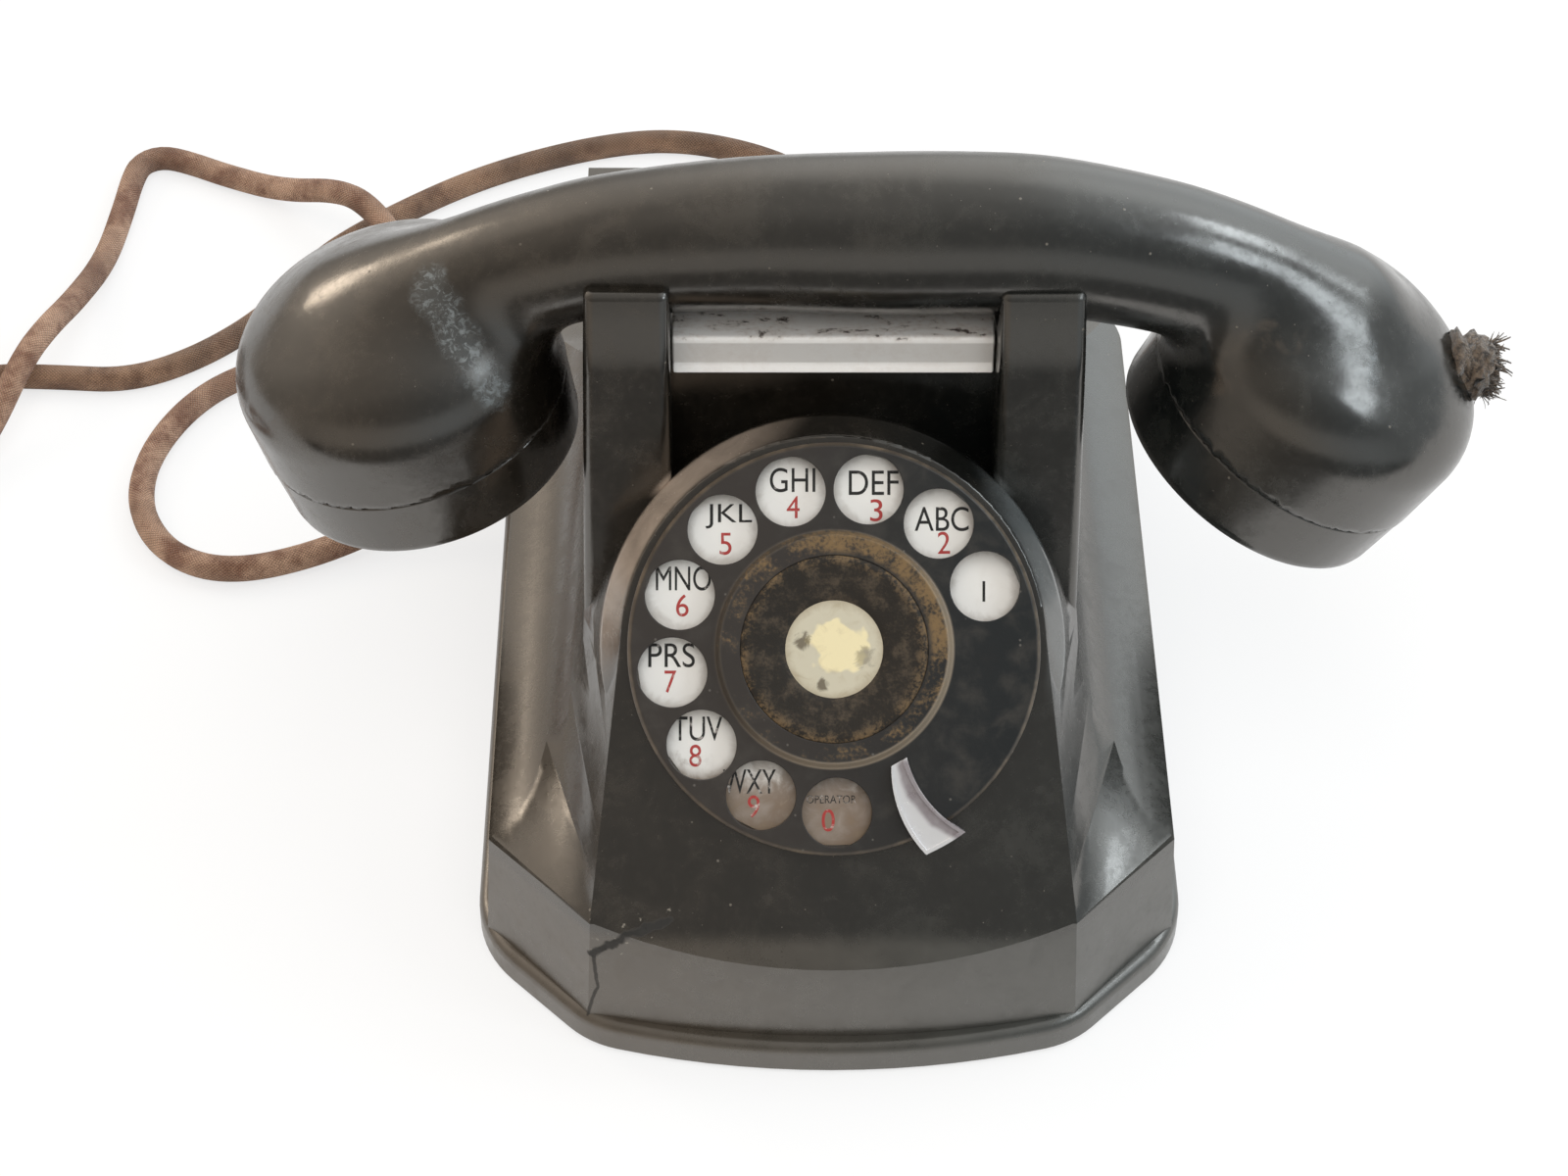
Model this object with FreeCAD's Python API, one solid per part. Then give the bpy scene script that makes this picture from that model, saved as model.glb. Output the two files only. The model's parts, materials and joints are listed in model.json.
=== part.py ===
"""Desk telephone of black bakelite with a rotary dial, a cradle bar and a resting handset.

Frame: millimetres, X to the right, Y to the back, Z up. The origin is the centre of the
base's footprint on the table. The dial's face plane leans back by dial_tilt.
"""
import FreeCAD
import Part
import math
import os

V = FreeCAD.Vector

# Housing, outside
foot_height = 1.0
skirt_half_width = 68.4
skirt_front_y = -98.0
skirt_front_radius = 164.0
skirt_corner_lean = 45.7
skirt_corner_reach = 96.9
skirt_front_bend = 20.0
skirt_side_bend = 25.0
skirt_rear_y = 97.8
skirt_rear_radius = 20.0
skirt_top_z = 7.2
skirt_round = 2.2
band_foot_z = 7.0
band_top_z = 30.8
band_draft = 1.3
facet_side_x = 65.0
facet_side_y = -66.2
facet_front_x = 45.2
band_bow = 5.6
band_rear_y = 92.4
band_rear_radius = 15.0
wall = 4.0

# Dial face plane and the round boss that carries the dial
dial_tilt = 45.7
dial_y = -51.2
dial_z = 67.2
flank_top_z = 72.7
flank_top_x = 38.9
boss_radius = 39.5
boss_bevel_radius = 43.5
boss_bevel_depth = 6.0
boss_root_radius = 46.5
boss_root_depth = 26.0
boss_round = 3.0
boss_rim_round = 0.8
dial_bore = boss_radius - 2.5
dial_bore_depth = 22.0

# Crease between shoulder and side: height, X and Y of its turning points
crease_low = (36.0, 55.3, -43.2)
crease_mid = (42.0, 50.4, -35.8)
crease_high = (53.0, 47.5, -28.4)

# Upper body, pillars and cradle
cove_top_z = 52.0
cove_top_x = 47.5
view_top_z = 140.0
pillar_top_x = 45.4
pillar_front_top_y = -20.4
pillar_front_lean = 6.8
pillar_inner_x = 30.2
pillar_round = 2.0
ear_round = 1.2
front_ear_z = 123.5
rear_ear_z = 125.5
rear_ear_back_y = 18.6
recess_wall_y = -11.2
recess_floor_z = 74.0
deck_z = 101.2
deck_back_y = 27.0
back_slope_y = 46.0
back_slope_z = 58.0
back_cove_y = 62.0
back_cove_z = 41.0

# Base: a felt pad under a steel plate in a rebate of the skirt
pad_thick = 1.2
pad_inset = 6.0
plate_thick = 1.5
plate_rebate = 4.0
plate_top_z = pad_thick + plate_thick
screw_places = [(-50, -60), (50, -60), (-53, 80), (53, 80)]
post_radius = 4.5
screw_radius = 2.0
screw_head_radius = 3.8
screw_length = 13.0

# Cord holes
cord_radius = 2.8
gland_radius = 4.6
gland_flange = 6.5
cord_exit_z = 12.5
line_exit_x = 18.0
handset_exit_y = 54.0

# Handset
handle_y = -1.2
cradle_gap = 0.3
cap_rim_radius = 29.3
cup_seam_radius = 30.4
cup_crease_radius = 31.0
cup_dome_height = 20.0
cup_shoulder_radius = 14.2
cap_height = 13.5
cap_face = 3.0
cap_wall = 3.2
receiver_rim = (-76.5, 72.0)
receiver_tilt = -14.0
receiver_crease = 25.0
transmitter_rim = (81.5, 70.0)
transmitter_tilt = 29.5
transmitter_crease = 26.0
spigot_height = 7.5
capsule_radius = 24.0
capsule_height = 12.0
# Handle stations from ear end to mouth end: X, height of the centre, radius
handle_left = (-88.0, 101.0, 12.5)
handle_neck_left = (-65.0, 114.8, 12.5)
handle_rest_left = (-39.0, 122.9, 13.2)
handle_middle = (8.0, 125.3, 15.0)
handle_rest_right = (38.0, 124.9, 14.7)
handle_neck_right = (65.0, 118.6, 14.0)
handle_right = (90.0, 103.0, 13.0)
handle_sections = 16
cup_blend = 7.5
stub_root = (120.7, 93.0)
stub_radius = 6.2
stub_length = 8.5
stub_droop = 12.0

# Hook switch bar between the pillars
bar_half_length = 29.9
bar_top_z = 109.2
bar_front_y = -12.2
bar_back_y = 8.0
bar_sheet = 1.2
bar_flange_z = 103.2
bar_lip = 1.3
bar_travel = 5.5
leg_x = 20.0
leg_width = 6.0
leg_thick = 2.0
leg_y = handle_y - leg_thick / 2
leg_foot_z = 76.5
leg_slot_gap = 0.4

# Hook lever under the legs, its pin, bracket and contact springs
lever_pivot_y = 25.5
lever_pivot_z = 74.0
lever_thick = 2.0
lever_gap = 0.5
lever_pin_radius = 1.5
lever_hub_radius = 3.0
lever_half_width = 24.0
bracket_inner_x = 27.0
bracket_sheet = 1.5
bracket_back_y = lever_pivot_y + 6.5
contact_top_z = 64.5
leaf_thick = 0.5

# Dial, heights above the face plane
dial_flange_radius = boss_radius - 1.4
dial_flange = 0.8
pan_radius = dial_bore - 0.6
pan_wall = 1.2
pan_depth = 4.0
number_plate_thick = 0.8
wheel_radius = dial_flange_radius
wheel_bottom = 4.0
wheel_thick = 1.6
wheel_rim_drop = 1.8
wheel_boss_radius = 21.9
wheel_boss_height = 1.2
hole_count = 10
hole_radius = 6.45
hole_ring = 30.1
hole_first_angle = 22.6
hole_step_angle = 27.6
card_radius = 9.0
card_ring_inner = 17.3
shaft_radius = 2.5
stop_angle = -60.1
stop_bow = 3.2
stop_widths = (3.3, 5.7, 8.4)
stop_sheet = 0.7
stop_lip = 0.8
stop_outer_radius = boss_radius + 1.8
stop_inner_radius = wheel_boss_radius + 2.0
stop_foot_radius = pan_radius + 0.4
lug_ring = pan_radius - 2.9
lug_radius = 3.0
lug_height = 4.0
lug_angles = (90, 210, 330)
dial_screw_radius = 1.2
bridge_depth = 15.0
bridge_radius = 34.0
bridge_post_ring = 31.0
bridge_post_angles = (45, 235, 310)
barrel_radius = 11.0
barrel_height = 6.5

# Dial gear train
main_teeth = 40
pinion_teeth = 10
main_module = 1.0
wheel_teeth = 30
governor_teeth = 10
fine_module = 0.6
train_slack = 0.1
main_gear_depth = 7.0
fine_gear_depth = 10.0
gear_thick = 1.5
impulse_angle = 150.0
impulse_shaft_radius = 1.5
governor_shaft_radius = 1.0
pivot_radius = 0.8
cam_radius = 4.5
governor_radius = 6.4

# Ringer
gong_x = 25.2
gong_y = 62.0
gong_radius = 20.0
gong_height = 12.0
gong_top_z = 24.0
gong_wall = 1.4
gong_post_radius = 3.0
coil_x = 10.0
coil_z = 15.5
coil_radius = 9.0
coil_front_y = 12.0
coil_back_y = 36.0
pole_radius = 3.0
armature_pivot_y = 41.0
armature_gap = 1.7
armature_half = 14.0
clapper_z = 15.5
clapper_radius = 3.5

# Circuit parts on the base plate
induction_y = -10.0
induction_half = 28.0
induction_cheek = 24.0
capacitor_size = (46.0, 24.0, 15.0)
capacitor_y = -50.0
terminal_size = (56.0, 12.0, 10.0)
terminal_y = -78.0
terminal_count = 5

# Coiled ends of the two cords
floor_z = cord_radius + 0.1
coil_pitch = 7.0
coil_layer = 6.2
line_coil_centre = (-246.0, 118.0)
line_coil_radius = 43.0
line_coil_angle = -65.0
line_coil_turns = 7.3
handset_coil_centre = (-246.0, 22.0)
handset_coil_radius = 34.0
handset_coil_angle = -24.0
handset_coil_turns = 3.5
plug_length = 38.0
plug_width = 30.0
plug_height = 22.0

# Fits
run_gap = 0.05
part_gap = 0.3


def polygon(points):
    """Closed wire through points."""
    pts = [V(*p) for p in points]
    return Part.makePolygon(pts + [pts[0]])


def prism(points, direction):
    """Solid swept from a flat polygon."""
    return Part.Face(polygon(points)).extrude(V(*direction))


def cylinder(radius, height, base, axis=(0, 0, 1)):
    return Part.makeCylinder(radius, height, V(*base), V(*axis))


def ring(outer, inner, height, base, axis=(0, 0, 1)):
    return cylinder(outer, height, base, axis).cut(cylinder(inner, height, base, axis))


def box(x0, y0, z0, x1, y1, z1):
    return Part.makeBox(x1 - x0, y1 - y0, z1 - z0, V(x0, y0, z0))


def fuse(shapes):
    """One clean solid from touching shapes."""
    whole = shapes[0]
    for s in shapes[1:]:
        whole = whole.fuse(s)
    return whole.removeSplitter()


def revolve(points, base=(0, 0, 0), axis=(0, 0, 1)):
    """Solid turned from (radius, height) points about Z, then stood on base along axis."""
    face = Part.Face(polygon([(r, 0, h) for r, h in points]))
    solid = face.revolve(V(0, 0, 0), V(0, 0, 1), 360)
    solid.Placement = FreeCAD.Placement(V(*base), FreeCAD.Rotation(V(0, 0, 1), V(*axis)))
    return solid


def place(shape, position, rotation):
    moved = shape.copy()
    moved.Placement = FreeCAD.Placement(V(*position), rotation).multiply(moved.Placement)
    return moved


def export(name, shape):
    shape.exportStep("parts/" + name + ".step")
    report = "%s solids %d volume %.1f valid %s"
    print(report % (name, len(shape.Solids), shape.Volume, shape.isValid()))


# Dial frame: x right, y up the slope, z out of the face
dial_rotation = FreeCAD.Rotation(V(1, 0, 0), dial_tilt)
tilt = math.radians(dial_tilt)


def on_dial(shape):
    return place(shape, (0, dial_y, dial_z), dial_rotation)


def dial_plane_y(z):
    """Y of the dial face plane at height z."""
    return dial_y + (z - dial_z) / math.tan(tilt)


def pillar_front_y(z):
    """Y of the pillars' front plane at height z."""
    return pillar_front_top_y - (front_ear_z - z) * math.tan(math.radians(pillar_front_lean))


def pillar_side_x(z):
    """X of the pillars' outer side at height z."""
    return cove_top_x + (z - cove_top_z) * (pillar_top_x - cove_top_x) / (view_top_z - cove_top_z)


def rounded(shape, radius, *spots):
    """Shape with a fillet on every edge that passes through one of the spots or its mirror image."""
    found = []
    for edge in shape.Edges:
        for x, y, z in spots:
            near = min(edge.distToShape(Part.Vertex(V(side * x, y, z)))[0] for side in (-1, 1))
            if near < 0.05:
                found.append(edge)
                break
    return shape.makeFillet(radius, found)


def band_wire(z, grow):
    """Outline of the base band: bowed front, corner facets, straight sides, round rear."""
    x_front, x_side = facet_front_x + 0.8 * grow, facet_side_x + grow
    y_corner = dial_plane_y(band_top_z) - 1.9 * grow
    y_bow = y_corner - band_bow
    y_side, rear, r = facet_side_y - 0.8 * grow, band_rear_y + grow, band_rear_radius + grow
    d = r * (1 - math.sqrt(0.5))

    def p(x, y):
        return V(x, y, z)

    return Part.Wire([
        Part.Arc(p(-x_front, y_corner), p(0, y_bow), p(x_front, y_corner)).toShape(),
        Part.makeLine(p(x_front, y_corner), p(x_side, y_side)),
        Part.makeLine(p(x_side, y_side), p(x_side, rear - r)),
        Part.Arc(p(x_side, rear - r), p(x_side - d, rear - d), p(x_side - r, rear)).toShape(),
        Part.makeLine(p(x_side - r, rear), p(r - x_side, rear)),
        Part.Arc(p(r - x_side, rear), p(d - x_side, rear - d), p(-x_side, rear - r)).toShape(),
        Part.makeLine(p(-x_side, rear - r), p(-x_side, y_side)),
        Part.makeLine(p(-x_side, y_side), p(-x_front, y_corner)),
    ])


def skirt_wire(z, grow):
    """Outline of the skirt: bowed front, corners cut across and eased at both ends, round rear."""
    w, rear = skirt_half_width + grow, skirt_rear_y + grow
    front, rr = skirt_front_y - grow, skirt_rear_radius + grow
    lean = math.radians(skirt_corner_lean)
    across = V(math.sin(lean), -math.cos(lean), 0)
    bow = V(0, skirt_front_y + skirt_front_radius, 0)
    # Centre of the bend between the bowed front and the cut corner
    offset = bow.dot(across) - skirt_corner_reach + skirt_front_bend
    side_way = math.sqrt((skirt_front_radius - skirt_front_bend) ** 2 - offset ** 2)
    first = bow - across * offset + V(-math.cos(lean), -math.sin(lean), 0) * side_way
    # Centre of the bend between the cut corner and the side
    x = skirt_half_width - skirt_side_bend
    second = V(x, (x * across.x - skirt_corner_reach + skirt_side_bend) / math.cos(lean), 0)
    r1, r2 = skirt_front_bend + grow, skirt_side_bend + grow
    begin = (first - bow).normalize()
    d = rr * (1 - math.sqrt(0.5))

    def p(x, y):
        return V(x, y, z)

    def bend(side, centre, radius, way):
        q = centre + way * radius
        return p(side * q.x, q.y)

    edges = [Part.Arc(bend(-1, first, r1, begin), p(0, front), bend(1, first, r1, begin)).toShape()]
    half = []
    for side in (1, -1):
        half.append([
            Part.Arc(bend(side, first, r1, begin), bend(side, first, r1, (begin + across).normalize()),
                     bend(side, first, r1, across)).toShape(),
            Part.makeLine(bend(side, first, r1, across), bend(side, second, r2, across)),
            Part.Arc(bend(side, second, r2, across), bend(side, second, r2, (across + V(1, 0, 0)).normalize()),
                     bend(side, second, r2, V(1, 0, 0))).toShape(),
            Part.makeLine(bend(side, second, r2, V(1, 0, 0)), p(side * w, rear - rr)),
            Part.Arc(p(side * w, rear - rr), p(side * (w - d), rear - d), p(side * (w - rr), rear)).toShape(),
        ])
    edges += half[0] + [Part.makeLine(p(w - rr, rear), p(rr - w, rear))] + half[1][::-1]
    return Part.Wire(Part.__sortEdges__(edges))


def shoulder_slice(z, crease_x, crease_y, inset):
    """Level outline of the front body: dial face edge, shoulders, and back inside the body."""
    t = (z - band_top_z) / (flank_top_z - band_top_z)
    face_x = facet_front_x + t * (flank_top_x - facet_front_x) - inset
    face_y = dial_plane_y(z) + 1.4 * inset
    cx, cy = crease_x - 0.9 * inset, crease_y + 0.9 * inset
    out_x = cx + 0.2 * (cx - face_x)
    out_y = cy + 0.2 * (cy - face_y)
    back_y = 10.0
    half = [(face_x, face_y), (cx, cy), (out_x, out_y), (out_x, back_y)]
    return polygon([(x, y, z) for x, y in half] + [(-x, y, z) for x, y in reversed(half)])


def front_body(inset):
    """Body under the dial face, lofted through level slices."""
    top_x, top_y = flank_top_x + 0.3, pillar_front_y(flank_top_z)
    slices = [shoulder_slice(band_top_z - 0.2, facet_side_x - 0.2, facet_side_y, inset)]
    for z, x, y in (crease_low, crease_mid, crease_high):
        slices.append(shoulder_slice(z, x, y, inset))
    slices.append(shoulder_slice(flank_top_z, top_x, top_y, inset))
    body = Part.makeLoft(slices, True, True)
    if inset:
        body = body.fuse(Part.Face(slices[0]).extrude(V(0, 0, -inset - 0.4)))
    return body


def front_view(inset):
    """Everything inside the front outline of cove and pillars, as a long bar along Y."""
    x0, z0 = facet_side_x - inset * 1.6, band_top_z - 0.05 - inset * 0.2
    x1, x2 = cove_top_x - inset, pillar_top_x - inset
    cove = (53.8 - inset * 0.75, 36.8 - inset * 0.75)
    y = skirt_front_y

    def p(x, z):
        return V(x, y, z)

    low, high = -0.2 if inset == 0 else -10.0, view_top_z
    wire = Part.Wire([
        Part.makeLine(p(-x0, z0 + low), p(x0, z0 + low)),
        Part.makeLine(p(x0, z0 + low), p(x0, z0)),
        Part.Arc(p(x0, z0), p(*cove), p(x1, cove_top_z)).toShape(),
        Part.makeLine(p(x1, cove_top_z), p(x2, high)),
        Part.makeLine(p(x2, high), p(-x2, high)),
        Part.makeLine(p(-x2, high), p(-x1, cove_top_z)),
        Part.Arc(p(-x1, cove_top_z), p(-cove[0], cove[1]), p(-x0, z0)).toShape(),
        Part.makeLine(p(-x0, z0), p(-x0, z0 + low)),
    ])
    return Part.Face(wire).extrude(V(0, skirt_rear_y - skirt_front_y, 0))


def side_view(inset):
    """Everything behind the pillar fronts and under the back slope, as a bar along X."""
    top = rear_ear_z if inset == 0 else deck_z - inset
    back_top = rear_ear_back_y if inset == 0 else deck_back_y - inset
    z0 = band_top_z - 0.25 - (10.0 if inset else 0.0)
    x = -skirt_half_width

    def p(y, z):
        return V(x, y, z)

    rear = band_rear_y - (inset * 1.8)
    points = [p(pillar_front_y(z0) + inset, z0), p(pillar_front_y(top) + inset, top)]
    points.append(p(back_top, top))
    if inset == 0:
        points.append(p(rear_ear_back_y + 1.5, deck_z + 8))
    points.append(p(deck_back_y - inset, deck_z - inset - 6))
    slope = p(back_slope_y - inset, back_slope_z - inset * 0.6)
    points.append(slope)
    edges = [Part.makeLine(a, b) for a, b in zip(points, points[1:]) if (b - a).Length > 1e-6]
    cove_end = p(rear, band_top_z - 0.05 - inset * 0.2)
    cove_mid = p(back_cove_y - inset * 0.5, back_cove_z - inset * 0.9)
    edges.append(Part.Arc(slope, cove_mid, cove_end).toShape())
    edges.append(Part.makeLine(cove_end, p(rear, z0)))
    edges.append(Part.makeLine(p(rear, z0), points[0]))
    return Part.Face(Part.Wire(edges)).extrude(V(2 * skirt_half_width, 0, 0))


def above_dial_plane(offset):
    """Block that lies over the dial face plane, lowered by offset."""
    block = box(-90, -90, -offset, 90, 41, 60)
    return on_dial(block)


def housing():
    band = Part.makeLoft([band_wire(band_foot_z - 1, band_draft), band_wire(band_top_z, 0)], True, True)
    band = band.cut(above_dial_plane(0))
    skirt = Part.Face(skirt_wire(foot_height, 0)).extrude(V(0, 0, skirt_top_z - foot_height))
    skirt = skirt.makeFillet(skirt_round, [e for e in skirt.Edges if e.BoundBox.ZMin > skirt_top_z - 0.1])
    front = front_body(0).common(front_view(0))
    column = Part.Face(band_wire(band_top_z - 0.25, 0)).extrude(V(0, 0, 120))
    rear = front_view(0).common(side_view(0)).common(column)
    # Gap between the pillars, above the deck and in front of the recess wall
    gap = box(-pillar_inner_x, -60, deck_z, pillar_inner_x, 60, 150)
    gap = gap.fuse(box(-pillar_inner_x, -60, recess_floor_z, pillar_inner_x, recess_wall_y, 150))
    gap = gap.fuse(box(-60, -60, front_ear_z, 60, handle_y, 150))
    rear = rear.cut(gap).removeSplitter().Solids[0]
    middle_z, middle_x = (deck_z + recess_floor_z) / 2, (pillar_inner_x + pillar_top_x) / 2
    front_y = pillar_front_y(middle_z)
    rear = rounded(rear, pillar_round, (pillar_side_x(middle_z), front_y, middle_z),
                   (pillar_inner_x, front_y, middle_z))
    rear = rounded(rear, ear_round, (middle_x, pillar_front_y(front_ear_z), front_ear_z),
                   (middle_x, rear_ear_back_y, rear_ear_z))
    boss = revolve([
        (0, 0), (boss_radius, 0), (boss_bevel_radius, -boss_bevel_depth),
        (boss_root_radius, -boss_root_depth), (0, -boss_root_depth)])
    boss = rounded(boss, boss_round, (boss_bevel_radius, 0, -boss_bevel_depth))
    boss = rounded(boss, boss_rim_round, (boss_radius, 0, 0))
    boss = on_dial(boss).cut(box(-60, recess_wall_y + 8, 0, 60, 60, 140))
    return band.fuse([skirt, front, rear, boss]).removeSplitter()


def along(route):
    """Total length of a chain of edges."""
    return sum(e.Length for e in route)


def handle_curve():
    """Smooth curve through the handle's stations of X, height and radius."""
    curve = Part.BSplineCurve()
    curve.interpolate([V(*station) for station in (
        handle_left, handle_neck_left, handle_rest_left, handle_middle,
        handle_rest_right, handle_neck_right, handle_right)])
    return curve


def handle_underside():
    """Lowest line of the handle, as points of X and height."""
    curve = handle_curve()
    points = []
    for i in range(101):
        u = curve.FirstParameter + (curve.LastParameter - curve.FirstParameter) * i / 100
        at, along_curve = curve.value(u), curve.tangent(u)[0]
        run = math.hypot(along_curve.x, along_curve.y)
        points.append((at.x + at.z * along_curve.y / run, at.y - at.z * along_curve.x / run))
    return points


def handle_rest_z():
    """Height of the notch floor: the handle's underside over the pillars, less the gap."""
    over = [z for x, z in handle_underside() if pillar_inner_x < abs(x) < pillar_top_x + 1.5]
    return min(over) - cradle_gap


def cavity():
    """Hollow of the shell, open underneath."""
    low = Part.Face(band_wire(foot_height - 1, -wall)).extrude(V(0, 0, band_top_z - wall))
    low = low.cut(above_dial_plane(wall))
    high = front_view(wall).common(side_view(wall).fuse(front_body(wall)))
    keep = pillar_inner_x + wall
    high = high.cut(box(-keep, -60, recess_floor_z - wall, keep, recess_wall_y + wall, 150))
    rebate = Part.Face(skirt_wire(foot_height - 1, -plate_rebate)).extrude(V(0, 0, plate_top_z - foot_height + 1))
    bore = on_dial(cylinder(dial_bore, dial_bore_depth + 1, (0, 0, -dial_bore_depth)))
    return low.fuse([high, rebate, bore])


def polar(radius, angle, height=0.0):
    a = math.radians(angle)
    return (radius * math.cos(a), radius * math.sin(a), height)


def housing_shell():
    solid = housing()
    shell = solid.cut(cavity())
    extras = []
    for x, y in screw_places:
        post = cylinder(post_radius, 60, (x, y, plate_top_z)).common(solid)
        extras.append(post.cut(cylinder(screw_radius, screw_length, (x, y, plate_top_z - 1))))
    for angle in lug_angles:
        base = -pan_depth - lug_height
        lug = cylinder(lug_radius, lug_height, polar(lug_ring, angle, base))
        root = cylinder(lug_radius, lug_height, polar(dial_bore + 1.5, angle, base))
        lug = lug.fuse(root).cut(cylinder(dial_screw_radius, lug_height, polar(lug_ring, angle, base)))
        extras.append(on_dial(lug))
    shell = shell.fuse(extras)
    # Slots in the deck for the legs of the hook bar
    half = leg_width / 2 + leg_slot_gap
    for x in (-leg_x, leg_x):
        shell = shell.cut(box(x - half, leg_y - leg_slot_gap, deck_z - 10,
                              x + half, leg_y + leg_thick + leg_slot_gap, deck_z + 5))
    # Cord holes
    shell = shell.cut(cylinder(gland_radius, 12, (line_exit_x, band_rear_y - 7, cord_exit_z), (0, 1, 0)))
    side_hole = (-facet_side_x + 7, handset_exit_y, cord_exit_z)
    shell = shell.cut(cylinder(gland_radius, 12, side_hole, (-1, 0, 0)))
    # Cradle notches, round under the handle
    notch_radius = handle_rest_right[2] + cradle_gap + 0.3
    centre_z = handle_rest_z() + notch_radius
    notch = cylinder(notch_radius, 120, (-60, handle_y, centre_z), (1, 0, 0))
    notch = notch.fuse(box(-60, handle_y - notch_radius, centre_z, 60, handle_y + notch_radius, 150))
    return shell.cut(notch).removeSplitter()


def base_plate():
    outline = skirt_wire(pad_thick, -plate_rebate - part_gap)
    plate = Part.Face(outline).extrude(V(0, 0, plate_thick))
    for x, y in screw_places:
        sink = Part.makeCone(screw_head_radius, screw_radius, plate_thick, V(x, y, pad_thick))
        plate = plate.cut(sink)
    return plate


def base_pad():
    pad = Part.Face(skirt_wire(0, -pad_inset)).extrude(V(0, 0, pad_thick))
    for x, y in screw_places:
        pad = pad.cut(cylinder(screw_head_radius + 1, pad_thick, (x, y, 0)))
    return pad


def base_screws():
    screws = []
    for x, y in screw_places:
        head = Part.makeCone(screw_head_radius, screw_radius, plate_thick, V(x, y, pad_thick))
        shank = cylinder(screw_radius, screw_length - plate_thick - 2, (x, y, plate_top_z))
        slot = box(x - screw_head_radius, y - 0.5, pad_thick, x + screw_head_radius, y + 0.5, pad_thick + 0.7)
        screws.append(head.fuse(shank).cut(slot))
    return Part.makeCompound(screws)


# Dial
def dial_case():
    """Pan with a flange; the wheel turns over it and the works hang under it."""
    pan = revolve([
        (shaft_radius + run_gap, -pan_depth), (pan_radius, -pan_depth), (pan_radius, 0),
        (dial_flange_radius, 0), (dial_flange_radius, dial_flange), (pan_radius - pan_wall, dial_flange),
        (pan_radius - pan_wall, -pan_depth + pan_wall), (5.0, -pan_depth + pan_wall), (5.0, -0.5),
        (shaft_radius + run_gap, -0.5)])
    for angle in lug_angles:
        pan = pan.cut(cylinder(dial_screw_radius, pan_wall, polar(lug_ring, angle, -pan_depth)))
    x, y, _ = polar(*impulse_place())
    pan = pan.cut(cylinder(pivot_radius + run_gap, pan_wall, (x, y, -pan_depth)))
    x, y, _ = polar(*governor_place())
    return pan.cut(cylinder(pivot_radius + run_gap, pan_wall, (x, y, -pan_depth)))


def number_plate():
    top = dial_flange + number_plate_thick
    return revolve([(pan_radius, dial_flange), (pan_radius, top), (6.0, top), (6.0, dial_flange)])


def dial_mount_screws():
    screws = []
    for angle in lug_angles:
        head_z = -pan_depth + pan_wall
        head = cylinder(1.6, 1.2, polar(lug_ring, angle, head_z))
        shank = cylinder(dial_screw_radius, pan_wall + lug_height, polar(lug_ring, angle, head_z - pan_wall - lug_height))
        x, y, _ = polar(lug_ring, angle)
        slot = box(x - 2, y - 0.25, head_z + 0.7, x + 2, y + 0.25, head_z + 1.3)
        screws.append(head.fuse(shank).cut(slot))
    return Part.makeCompound(screws)


def stop_outline(inset, inner, height):
    """Flat horn: narrow at the wheel's centre, bowed, and wide over the rim."""
    radii = (inner, (stop_inner_radius + stop_outer_radius) / 2, stop_outer_radius)
    bows = (0.0, stop_bow, 0.0)

    def side(sign):
        points = []
        for r, width, bow in zip(radii, stop_widths, bows):
            angle = stop_angle - bow + sign * math.degrees((width / 2 - inset) / r)
            points.append(V(*polar(r, angle, height)))
        return points

    left, right = side(-1), side(1)
    outer = V(*polar(stop_outer_radius, stop_angle, height))
    return Part.Face(Part.Wire([
        Part.Arc(*left).toShape(), Part.Arc(left[2], outer, right[2]).toShape(),
        Part.Arc(*reversed(right)).toShape(), Part.makeLine(right[0], left[0])]))


def finger_stop():
    """Horn of sheet steel over the wheel with raised long edges; its wide end bends down to a foot."""
    over = wheel_bottom + wheel_thick + 0.6
    horn = stop_outline(0, stop_inner_radius, over).extrude(V(0, 0, stop_sheet + stop_lip))
    trough = stop_outline(stop_sheet, stop_inner_radius - 1, over + stop_sheet).extrude(V(0, 0, stop_lip))
    trough = trough.common(cylinder(stop_outer_radius - stop_sheet, 20, (0, 0, 0)))
    wall = stop_outline(0, stop_inner_radius, dial_flange).extrude(V(0, 0, over - dial_flange + stop_sheet))
    inside = cylinder(stop_outer_radius - stop_sheet, 20, (0, 0, dial_flange + stop_sheet))
    foot_inside = cylinder(stop_foot_radius, 20, (0, 0, 0))
    return horn.cut(trough).fuse(wall.cut([inside, foot_inside])).removeSplitter()


def impulse_place():
    """Radius and angle of the impulse shaft in the dial."""
    teeth = main_teeth + pinion_teeth
    return teeth * main_module / 2 + train_slack, impulse_angle


def governor_place():
    """Radius and angle of the governor shaft, square to the first pair."""
    r1 = impulse_place()[0]
    r2 = (wheel_teeth + governor_teeth) * fine_module / 2 + train_slack
    return math.hypot(r1, r2), impulse_angle + math.degrees(math.atan2(r2, r1))


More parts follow.
